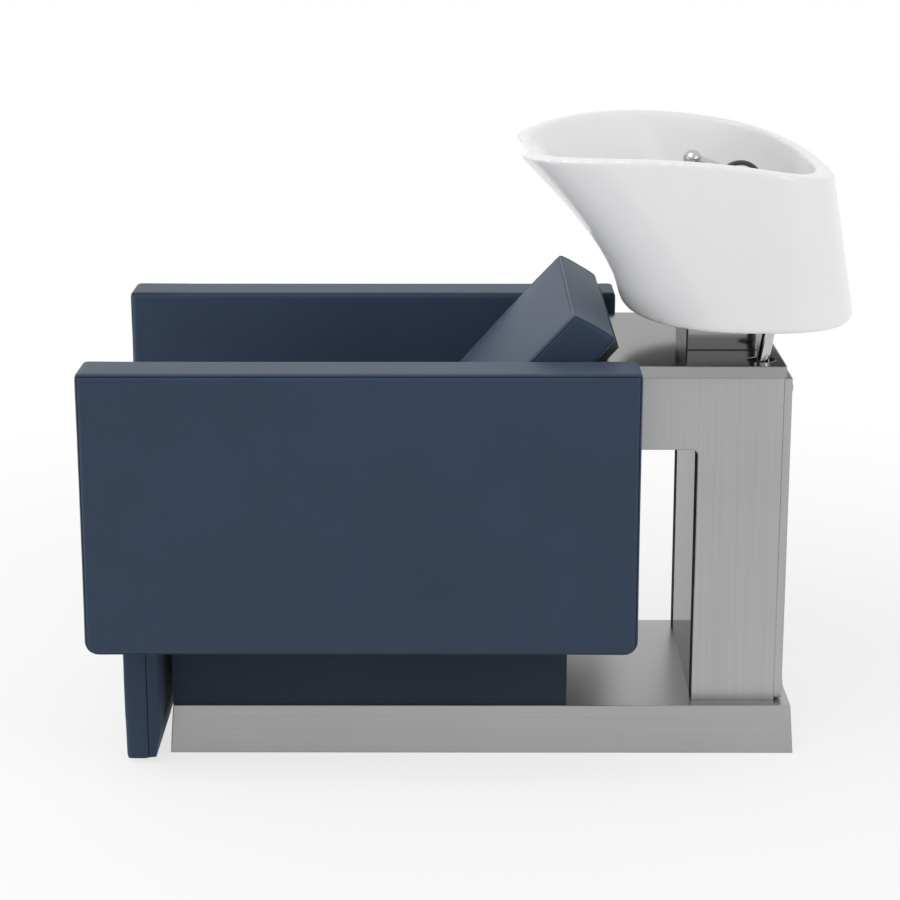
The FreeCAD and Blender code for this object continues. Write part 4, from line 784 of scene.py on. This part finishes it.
class StitchTree(GeometryGroup):
    """Geometry node tree that sets stitches along a line."""

    pitch = 0.005
    length = 0.0034
    radius = 0.0004
    bar_sides = 6

    def __init__(self, thread: Material) -> None:
        """Join the nodes: line to points, a capped bar at each, then real mesh.

        Args:
            thread: material of the thread.
        """
        inputs = {"Line": Socket.GEOMETRY}
        inputs |= {"Pitch": self.pitch, "Length": self.length, "Radius": self.radius}
        super().__init__("Stitches", inputs, {"Stitches": Socket.GEOMETRY})
        inlet = self.inlet
        curve = self.out("GeometryNodeMeshToCurve", "Curve", {"Mesh": inlet["Line"]})
        feeds = {"Curve": curve, "Length": inlet["Pitch"]}
        points = self.node("GeometryNodeCurveToPoints", feeds, mode="LENGTH").outputs
        feeds = {"Vector": points["Tangent"]}
        turn = self.out("FunctionNodeAlignRotationToVector", "Rotation", feeds, axis="Z")
        feeds = {"Vertices": self.bar_sides, "Radius": inlet["Radius"], "Depth": inlet["Length"]}
        bar = self.out("GeometryNodeMeshCylinder", "Mesh", feeds)
        feeds = {"Points": points["Points"], "Instance": bar, "Rotation": turn}
        bars = self.out("GeometryNodeInstanceOnPoints", "Instances", feeds)
        real = self.out("GeometryNodeRealizeInstances", "Geometry", {"Geometry": bars})
        feeds = {"Geometry": real, "Material": thread}
        sewn = self.out("GeometryNodeSetMaterial", "Geometry", feeds)
        self.feed(self.outlet, {"Stitches": sewn})

    def sew(self, name: str, lines: Sequence[Sequence[Vector]]) -> Object:
        """Sew along closed lines that lie on a surface.

        Args:
            name: name of the row of stitches.
            lines: points of each closed line.

        Returns:
            The stitches as a mesh object.
        """
        shape = bmesh.new()
        for line in lines:
            corners = [shape.verts.new(point) for point in line]
            for start, end in zip(corners, corners[1:] + corners[:1]):
                shape.edges.new((start, end))
        row = object_of(name, shape)
        reshape(row, "NODES", node_group=self.tree)
        return row


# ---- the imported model


class Unit:
    """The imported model, and the materials of its slots, seams and stitches."""

    def __init__(self, frame: dict) -> None:
        """Build each finish once.

        Args:
            frame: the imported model.
        """
        groups = Groups()
        self.nodes, self.subparts = frame["nodes"], frame["record"]["subparts"]
        self.slots = {slot: look.material(groups) for slot, look in SLOT_FINISHES.items()}
        self.seams = {kind: look.material(groups) for kind, look in SEAM_FINISHES.items()}
        self.stitches = StitchTree(THREAD.material(groups))

    def dress(self) -> None:
        """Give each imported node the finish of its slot."""
        for part in self.subparts:
            finish(self.nodes[part["node"]], self.slots[part["material_slot"]])
            LOG.info("dressed %s", part["node"])

    def copy(self, nodes: Sequence[str], name: str, grow: float = 0.0) -> Object:
        """Copy nodes' meshes into one new object, with their corners merged.

        Args:
            nodes: names of the nodes.
            name: name of the copy.
            grow: how far each mesh moves out, so that pieces that touch join.

        Returns:
            The copy.
        """
        shape = bmesh.new()
        for node in nodes:
            shape.from_mesh(self.nodes[node].data)
        bmesh.ops.remove_doubles(shape, verts=shape.verts, dist=MERGE_DISTANCE)
        shape.normal_update()
        if grow:
            for vertex in shape.verts:
                vertex.co += vertex.normal * grow
        return object_of(name, shape)


# ---- upholstery


class Face(Enum):
    """Side of a pad that a seam loop lies on: axis index and sign."""

    LEFT = (1, -1)
    RIGHT = (1, 1)
    FRONT = (0, -1)
    TOP = (2, 1)


@dataclass(frozen=True)
class Seam:
    """A sewn loop round one face of a pad, at its edge or some depth behind it."""

    face: Face
    depth: float = 0.0
    kind: SeamKind = SeamKind.PLAIN
    stitched: bool = False
    edge: float = 0.62


CLOTH_SETTINGS = {
    "quality": 4, "mass": 0.4, "tension_stiffness": 25.0, "compression_stiffness": 25.0,
    "bending_stiffness": 2.0, "use_pressure": True,
}
CLOTH_FRAMES = 20


@dataclass
class Pad:
    """One padded piece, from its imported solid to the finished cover."""

    node: str
    body: Body
    seams: Sequence[Seam]
    voxel: float = 0.004
    relax: int = 4
    cloth_voxel: float = 0.009
    cloth_relax: int = 2
    pressure: float = 4.0
    near_count: int = 6
    near_blur: float = 0.002
    swell: float = 0.004
    swell_relax: int = 2
    tuck: float = 0.0008
    fill: float = 0.8
    tilt: float = 0.0
    groove: float = 0.0008
    groove_width: float = 0.003
    seam_step: float = 0.004
    ray_start: float = 0.05
    stitch_inset: float = 0.0045
    also: Sequence[str] = ()
    join: float = 0.0003
    obj: Object = field(default=None, init=False)

    def build(self, unit: Unit) -> None:
        """Make the pad, its seams and its stitches.

        Args:
            unit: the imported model.
        """
        self.obj = self._copy(unit, "cover")
        reshape(self.obj, "REMESH", mode="VOXEL", voxel_size=self.voxel)
        soften(self.obj, self.relax)
        self._swell(unit)
        loops = [self._loop(seam) for seam in self.seams]
        for line in loops:
            self._press(line)
        smooth_shading(self.obj)
        finish(self.obj, unit.slots["leatherette"])
        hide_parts(self.node, *self.also)
        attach(self.obj, self.body.value)
        for kind in SeamKind:
            lines = [line for seam, line in zip(self.seams, loops) if seam.kind is kind]
            if lines:
                self._lay(kind, lines, unit)
        sewn = [self._loop(seam, self.stitch_inset) for seam in self.seams if seam.stitched]
        if sewn:
            row = unit.stitches.sew(f"{self.node}_stitches", sewn)
            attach(row, self.body.value)
        LOG.info("padded %s: %d faces", self.node, len(self.obj.data.polygons))

    def _copy(self, unit: Unit, purpose: str) -> Object:
        """Mesh of the pad's nodes, joined where there are several, named for its purpose."""
        grow = self.join if self.also else 0.0
        return unit.copy((self.node, *self.also), f"{self.node}_{purpose}", grow)

    def _swell(self, unit: Unit) -> None:
        """Move the cover as a coarse cloth of the same shape swells under pressure.

        Args:
            unit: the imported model.
        """
        cloth = self._copy(unit, "cloth")
        reshape(cloth, "REMESH", mode="VOXEL", voxel_size=self.cloth_voxel)
        reshape(cloth, "SMOOTH", factor=HALF_WAY, iterations=self.cloth_relax)
        before = [vertex.co.copy() for vertex in cloth.data.vertices]
        tree = tree_of(before)
        self._inflate(cloth)
        moves = [vertex.co - place for vertex, place in zip(cloth.data.vertices, before)]
        bpy.data.objects.remove(cloth)
        vertices = self.obj.data.vertices
        normals = [vertex.normal.copy() for vertex in vertices]
        rises = []
        for vertex, normal in zip(vertices, normals):
            found = tree.find_n(vertex.co, self.near_count)
            shares = [1.0 / (distance + self.near_blur) for _, _, distance in found]
            parts = [moves[hit[1]].dot(normal) * share for hit, share in zip(found, shares)]
            rises.append(sum(parts) / sum(shares))
        most = max(rises)
        for vertex, normal, rise in zip(vertices, normals, rises):
            vertex.co += normal * max(rise * self.swell / most, -self.tuck)
        soften(self.obj, self.swell_relax)

    def _inflate(self, cloth: Object) -> None:
        """Run a closed cloth under pressure until it is full.

        Args:
            cloth: the cover's coarse copy.
        """
        scene = bpy.context.scene
        modifier = modify(cloth, "CLOTH")
        for label, value in CLOTH_SETTINGS.items():
            setattr(modifier.settings, label, value)
        modifier.settings.uniform_pressure_force = self.pressure
        modifier.settings.effector_weights.gravity = 0.0
        modifier.point_cache.frame_start = 1
        modifier.point_cache.frame_end = CLOTH_FRAMES
        for number in range(1, CLOTH_FRAMES + 1):
            scene.frame_set(number)
            bpy.context.evaluated_depsgraph_get()
        settle(cloth)
        scene.frame_set(1)

    def _axes(self, face: Face) -> tuple[Vector, Vector, Vector]:
        """Directions of a face.

        Args:
            face: side of the pad.

        Returns:
            The direction out of the face, and the two across it.
        """
        lean = Vector((math.sin(self.tilt), 0.0, math.cos(self.tilt)))
        ahead = Vector((math.cos(self.tilt), 0.0, -math.sin(self.tilt)))
        basis = (ahead, Vector((0.0, 1.0, 0.0)), lean)
        index, sign = face.value
        across, up = (basis[i] for i in range(3) if i != index)
        return basis[index] * sign, across, up

    def _skin(self) -> BVHTree:
        """Search tree over the cover's faces."""
        places = [vertex.co for vertex in self.obj.data.vertices]
        return BVHTree.FromPolygons(places, [p.vertices for p in self.obj.data.polygons])

    def _loop(self, seam: Seam, inset: float = 0.0) -> list[Vector]:
        """Points of a seam's loop on the cover: the face's outline, moved in or back.

        Args:
            seam: the loop to lay.
            inset: how far the loop lies inside the outline.

        Returns:
            Points at short steps on the surface.
        """
        out, across, up = self._axes(seam.face)
        facing = [v.co for v in self.obj.data.vertices if v.normal.dot(out) > seam.edge]
        flat = [(across.dot(place), up.dot(place)) for place in facing]
        rim = [Vector(flat[i]) for i in convex_hull_2d(flat)]
        middle = sum(rim, Vector((0.0, 0.0))) / len(rim)
        level = max(out.dot(place) for place in facing) - seam.depth
        corners: list[Vector] = []
        for before, here, after in zip(rim[-1:] + rim[:-1], rim, rim[1:] + rim[:1]):
            run = (after - before).normalized()
            inward = Vector((-run.y, run.x))
            if inward.dot(middle - here) < 0.0:
                inward = -inward
            a, b = here + inward * inset
            corners.append(across * a + up * b + out * level)
        skin = self._skin()
        line = []
        for point in dense(corners, True, self.seam_step):
            hit = None if seam.depth else skin.ray_cast(point + out * self.ray_start, -out)[0]
            line.append(hit if hit is not None else skin.find_nearest(point)[0])
        return line

    def _press(self, line: Sequence[Vector]) -> None:
        """Sink a groove along a seam.

        Args:
            line: points of the seam.
        """
        vertices = self.obj.data.vertices
        shares = fades(vertices, line, self.groove_width)
        normals = [vertex.normal.copy() for vertex in vertices]
        for vertex, normal, share in zip(vertices, normals, shares):
            vertex.co -= normal * self.groove * share

    def _lay(self, kind: SeamKind, lines: Sequence[Sequence[Vector]], unit: Unit) -> None:
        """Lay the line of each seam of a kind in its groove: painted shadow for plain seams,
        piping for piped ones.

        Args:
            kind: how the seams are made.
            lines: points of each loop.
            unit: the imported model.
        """
        radius, proud = kind.value
        curve = bpy.data.curves.new(f"{self.node}_{kind.name.lower()}", "CURVE")
        curve.dimensions = "3D"
        curve.bevel_depth = radius
        curve.bevel_resolution = 2
        skin = self._skin()
        for line in lines:
            spline = curve.splines.new("POLY")
            spline.points.add(len(line) - 1)
            for point, place in zip(spline.points, line):
                spot, normal = skin.find_nearest(place)[:2]
                point.co = (*(spot + normal * radius * (2.0 * proud - 1.0)), 1.0)
            spline.use_cyclic_u = True
        seams = new_object(f"{self.node}_{kind.name.lower()}", mesh_of_curve(curve))
        finish(seams, unit.seams[kind])
        smooth_shading(seams)
        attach(seams, self.body.value)


ARM_SEAMS = (Seam(Face.LEFT), Seam(Face.RIGHT))
SEAT_SEAMS = (Seam(Face.TOP, stitched=True),)
BACK_SEAMS = (
    Seam(Face.LEFT, kind=SeamKind.PIPED),
    Seam(Face.RIGHT, kind=SeamKind.PIPED),
    Seam(Face.FRONT, kind=SeamKind.PIPED, stitched=True),
)
LEG_SEAMS = (Seam(Face.FRONT, depth=0.040),)
BACK_TILT = math.radians(42.0)

UPHOLSTERY = (
    Pad("arm_left", Body.FRAME, ARM_SEAMS, voxel=0.0035, swell=0.0025, fill=0.95),
    Pad("arm_right", Body.FRAME, ARM_SEAMS, voxel=0.0035, swell=0.0025, fill=0.95),
    Pad("seat_cushion", Body.FRAME, SEAT_SEAMS, pressure=5.0, swell=0.006),
    Pad("backrest_pad", Body.FRAME, BACK_SEAMS, pressure=5.0, tilt=BACK_TILT),
    Pad("legrest_pad", Body.LEGREST, LEG_SEAMS, swell=0.002, also=("legrest_board",)),
)


# ---- basin


@dataclass
class Basin:
    """The ceramic basin, with the soft edges that a glaze leaves.

    Its mesh is made on a turned grid, and edges at the heights of plain_zone stay as they are.
    """

    grid_depth: int = 8
    grid_scale: float = 0.95
    grid_turn: Point = (0.55, 0.4, 0.3)
    relax: int = 12
    edge_angle: float = math.radians(35.0)
    edge_step: float = 0.002
    edge_rounds: int = 28
    edge_width: float = 0.012
    plain_zone: Span = (0.70, 0.82)
    tip_rounds: int = 40
    tip_width: float = 0.016
    most_faces: int = 185000

    def build(self, unit: Unit) -> None:
        """Make the basin's skin from its solid and soften its edges.

        Args:
            unit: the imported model.
        """
        skin = unit.copy(("basin",), "basin_glazed")
        low, high = self.plain_zone
        sharp = sharp_points(skin, self.edge_angle, self.edge_step)
        turn = Euler(self.grid_turn).to_matrix().to_4x4()
        skin.data.transform(turn)
        reshape(
            skin, "REMESH", mode="SHARP", octree_depth=self.grid_depth, scale=self.grid_scale,
            use_remove_disconnected=False,
        )
        skin.data.transform(turn.inverted())
        soften(skin, self.relax)
        edges = [point for point in sharp if not low < point.z < high]
        self._round(skin, edges, self.edge_width, self.edge_rounds)
        self._round(skin, self._tips(skin), self.tip_width, self.tip_rounds)
        faces = sum(len(p.vertices) - 2 for p in skin.data.polygons)
        if faces > self.most_faces:
            reshape(skin, "DECIMATE", ratio=self.most_faces / faces)
        smooth_shading(skin)
        finish(skin, unit.slots["basin_ceramic"])
        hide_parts("basin")
        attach(skin, Body.BASIN.value)
        LOG.info("glazed basin: %d faces", len(skin.data.polygons))

    def _tips(self, skin: Object) -> list[Vector]:
        """Foremost point of the rim on each side of the neck."""
        places = sorted((vertex.co.copy() for vertex in skin.data.vertices), key=lambda p: p.x)
        return [next(p for p in places if p.y * side > 0.0) for side in (-1.0, 1.0)]

    def _round(
        self, skin: Object, points: Sequence[Vector], width: float, rounds: int
    ) -> None:
        """Relax the skin near some points and leave the rest.

        Args:
            skin: the basin's mesh.
            points: points to round the skin at.
            width: distance at which the rounding fades.
            rounds: how many times the skin is relaxed.
        """
        group = skin.vertex_groups.new(name="edges")
        for index, share in enumerate(fades(skin.data.vertices, points, width)):
            if share:
                group.add([index], share, "REPLACE")
        reshape(skin, "SMOOTH", factor=HALF_WAY, iterations=rounds, vertex_group=group.name)
        skin.vertex_groups.clear()


# ---- hoses


@dataclass
class ShowerHose:
    """Ribbed hose that arches from its guide to the hand shower."""

    radius: float = 0.004
    rib_pitch: float = 0.0026
    rib_depth: float = 0.0004
    rib_steps: int = 8
    ring_sides: int = 16
    line_steps: int = 24
    length: float = 0.1297
    depth_y: float = 0.115
    route: Sequence[tuple[float, float]] = (
        (0.3810, 0.8085), (0.3810, 0.8355), (0.4005, 0.8550),
        (0.4275, 0.8550), (0.4470, 0.8355), (0.4470, 0.8100),
    )

    def _line(self) -> Mesh:
        """Smooth line of the hose.

        Returns:
            Mesh of the line's points and edges.
        """
        curve = bpy.data.curves.new("shower_hose_line", "CURVE")
        curve.dimensions = "3D"
        curve.resolution_u = self.line_steps
        spline = curve.splines.new("NURBS")
        spline.points.add(len(self.route) - 1)
        for point, (x, z) in zip(spline.points, self.route):
            point.co = (x, self.depth_y, z, 1.0)
        spline.order_u = 3
        spline.use_endpoint_u = True
        return mesh_of_curve(curve)

    def _rib_tree(self, material: Material) -> NodeTree:
        """Tree that sweeps a ribbed tube along a line.

        Args:
            material: finish of the tube.

        Returns:
            The tree, with its sizes as named inputs.
        """
        inputs = {"Line": Socket.GEOMETRY}
        inputs |= {"Radius": self.radius, "Pitch": self.rib_pitch, "Depth": self.rib_depth}
        group = GeometryGroup("Ribbed tube", inputs, {"Tube": Socket.GEOMETRY})
        inlet = group.inlet
        curve = group.out("GeometryNodeMeshToCurve", "Curve", {"Mesh": inlet["Line"]})
        feeds = {"Curve": curve, "Length": self.rib_pitch / self.rib_steps}
        even = group.out("GeometryNodeResampleCurve", "Curve", feeds, mode="LENGTH")
        along = group.out("GeometryNodeSplineParameter", "Length")
        wave = group.math("PINGPONG", group.math("DIVIDE", along, inlet["Pitch"]), HALF_WAY)
        sunk = group.math("MULTIPLY", wave, inlet["Depth"])
        width = group.math("SUBTRACT", inlet["Radius"], sunk)
        feeds = {"Resolution": self.ring_sides, "Radius": inlet["Radius"]}
        ring = group.out("GeometryNodeCurvePrimitiveCircle", "Curve", feeds)
        feeds = {
            "Curve": even,
            "Profile Curve": ring,
            "Scale": group.math("DIVIDE", width, inlet["Radius"]),
            "Fill Caps": True,
        }
        tube = group.out("GeometryNodeCurveToMesh", "Mesh", feeds)
        feeds = {"Geometry": tube, "Material": material}
        group.feed(group.outlet, {"Tube": group.out("GeometryNodeSetMaterial", "Geometry", feeds)})
        return group.tree

    def build(self, unit: Unit) -> None:
        """Args:
            unit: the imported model.
        """
        line = self._line()
        path = [vertex.co.copy() for vertex in line.vertices]
        hose = new_object("shower_hose_ribbed", line)
        reshape(hose, "NODES", node_group=self._rib_tree(unit.slots["hose_grey"]))
        smooth_shading(hose)
        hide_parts("shower_hose")
        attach(hose, Body.SHOWER.value)
        LOG.info("laid shower hose: %d faces", len(hose.data.polygons))


@dataclass(frozen=True)
class ColumnHose:
    """Hose inside the column, under the basin that tilts above it."""

    node: str
    slot: str = "hose_grey"
    step: float = 0.012

    def build(self, unit: Unit) -> None:
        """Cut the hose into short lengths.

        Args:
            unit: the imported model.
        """
        hose = unit.copy((self.node,), f"{self.node}_flexible")
        heights = [vertex.co.z for vertex in hose.data.vertices]
        low, high = min(heights), max(heights)
        shape = bmesh.new()
        shape.from_mesh(hose.data)
        for turn in range(1, int((high - low) / self.step)):
            every = [*shape.verts, *shape.edges, *shape.faces]
            level = (0.0, 0.0, low + turn * self.step)
            bmesh.ops.bisect_plane(shape, geom=every, plane_co=level, plane_no=(0.0, 0.0, 1.0))
        shape.to_mesh(hose.data)
        shape.free()
        smooth_shading(hose)
        finish(hose, unit.slots[self.slot])
        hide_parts(self.node)
        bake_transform(hose)
        LOG.info("hung %s: %d faces", self.node, len(hose.data.polygons))


COLUMN_HOSES = (ColumnHose("water_hoses_lower"), ColumnHose("waste_hose"))


# ---- painted shade strips at the column's front edges


@dataclass(frozen=True)
class ColumnEdgeShade:
    """Dark strips on both upright edges of the column's polished front, painting the dark
    reflections and shade along those edges.
    """

    panel: str = "column_front_panel"
    slot: str = "foot_rubber"
    width: float = 0.030
    thick: float = 0.0006

    def build(self, unit: Unit) -> None:
        """Lay a strip on each edge.

        Args:
            unit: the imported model.
        """
        (x, low_y, low_z), (_, high_y, high_z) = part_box(self.panel)
        # each strip is painted shade: a thin dark sheet over one front edge
        for side, y in (("left", low_y), ("right", high_y - self.width)):
            shape = bmesh.new()
            for a in (x - self.thick, x):
                for b in (y, y + self.width):
                    for c in (low_z, high_z):
                        shape.verts.new((a, b, c))
            bmesh.ops.convex_hull(shape, input=shape.verts)
            strip = object_of(f"column_trim_{side}", shape)
            finish(strip, unit.slots[self.slot])
            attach(strip, Body.FRAME.value)
            LOG.info("laid %s", strip.name)


# ---- stage


@dataclass(frozen=True)
class Lamp:
    """Soft square light that faces a point, with its power in watts."""

    name: str
    place: Point
    target: Point
    size: float
    power: float

    def hang(self) -> None:
        """Add the light to the scene."""
        data = bpy.data.lights.new(self.name, "AREA")
        data.size = self.size
        data.energy = self.power
        lamp = new_object(self.name, data)
        lamp.location = self.place
        aim = Vector(self.target) - Vector(self.place)
        lamp.rotation_euler = aim.to_track_quat("-Z", "Y").to_euler()


LAMPS = (
    Lamp("key_light", (-0.9, -1.1, 2.9), (0.0, 0.0, 0.4), size=2.4, power=31.0),
    Lamp("low_light", (-3.0, -0.3, 0.55), (0.1, 0.0, 0.7), size=1.6, power=44.0),
    Lamp("fill_light", (2.8, -2.0, 1.3), (0.2, 0.0, 0.5), size=2.0, power=26.0),
)


@dataclass
class Studio:
    """Floor, soft light and the camera at the photographed angle."""

    camera_place: Point = (-0.0316, -3.6193, 1.3624)
    camera_pitch: float = 14.568
    camera_yaw: float = 0.115
    lens: float = 95.99
    sensor: float = 36.0
    sky: float = 0.60
    floor_half: float = 12.0
    floor_colour: Colour = (0.86, 0.86, 0.86)
    floor_roughness: float = 0.9
    fade_reach: Span = (0.7, 2.2)
    fade_share: Span = (0.72, 1.0)

    def build(self) -> None:
        """Set the floor, the light and the camera."""
        scene = bpy.context.scene
        scene.view_settings.view_transform = "Standard"
        scene.camera = self._camera()
        scene.world = self._world()
        self._floor()
        for lamp in LAMPS:
            lamp.hang()

    def _camera(self) -> Object:
        """Add the camera.

        Returns:
            The camera.
        """
        data = bpy.data.cameras.new("camera")
        data.lens = self.lens
        data.sensor_width = self.sensor
        camera = new_object("camera", data)
        camera.location = self.camera_place
        pitch = math.radians(90.0 - self.camera_pitch)
        camera.rotation_euler = (pitch, 0.0, math.radians(self.camera_yaw))
        return camera

    def _world(self) -> bpy.types.World:
        """White to the camera and in reflections, softer as light.

        Returns:
            The world.
        """
        world = bpy.data.worlds.new("studio")
        world.use_nodes = True
        tree = Wiring(world.node_tree)
        strength = tree.ranged(tree.seen(), end=(self.sky, 1.0))
        feeds = {"Color": opaque((1.0, 1.0, 1.0)), "Strength": strength}
        tree.feed(world.node_tree.nodes["Background"], feeds)
        return world

    def _floor(self) -> None:
        """Pale floor, white to the camera but for the object's shadow."""
        half = self.floor_half
        sides = ((-half, -half), (half, -half), (half, half), (-half, half))
        corners = [(x, y, 0.0) for x, y in sides]
        mesh = bpy.data.meshes.new("floor")
        mesh.from_pydata(corners, [], [(0, 1, 2, 3)])
        floor = new_object("floor", mesh)
        material = bpy.data.materials.new("pale_floor")
        material.use_nodes = True
        tree = Wiring(material.node_tree)
        bsdf = tree.tree.nodes["Principled BSDF"]
        feeds = {"Base Color": opaque(self.floor_colour), "Roughness": self.floor_roughness}
        tree.feed(bsdf, feeds)
        place = tree.out("ShaderNodeTexCoord", "Object")
        distance = tree.out("ShaderNodeVectorMath", "Value", {0: place}, operation="LENGTH")
        fade = tree.ranged(distance, self.fade_reach, self.fade_share, eased=True)
        feeds = {
            "Fac": tree.math("MULTIPLY", tree.seen(), fade),
            1: bsdf.outputs["BSDF"],
            2: tree.out("ShaderNodeEmission", "Emission"),
        }
        mix = tree.out("ShaderNodeMixShader", "Shader", feeds)
        tree.feed(tree.tree.nodes["Material Output"], {"Surface": mix})
        finish(floor, material)


# ---- the unit


def main() -> None:
    """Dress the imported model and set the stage."""
    logging.basicConfig(level=logging.INFO, format="%(name)s: %(message)s")
    for obj in list(bpy.data.objects):
        bpy.data.objects.remove(obj)
    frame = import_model()
    Studio().build()
    unit = Unit(frame)
    unit.dress()
    for piece in (ShowerHose(), *COLUMN_HOSES, ColumnEdgeShade(), Basin(), *UPHOLSTERY):
        piece.build(unit)


if __name__ == "__main__":
    main()
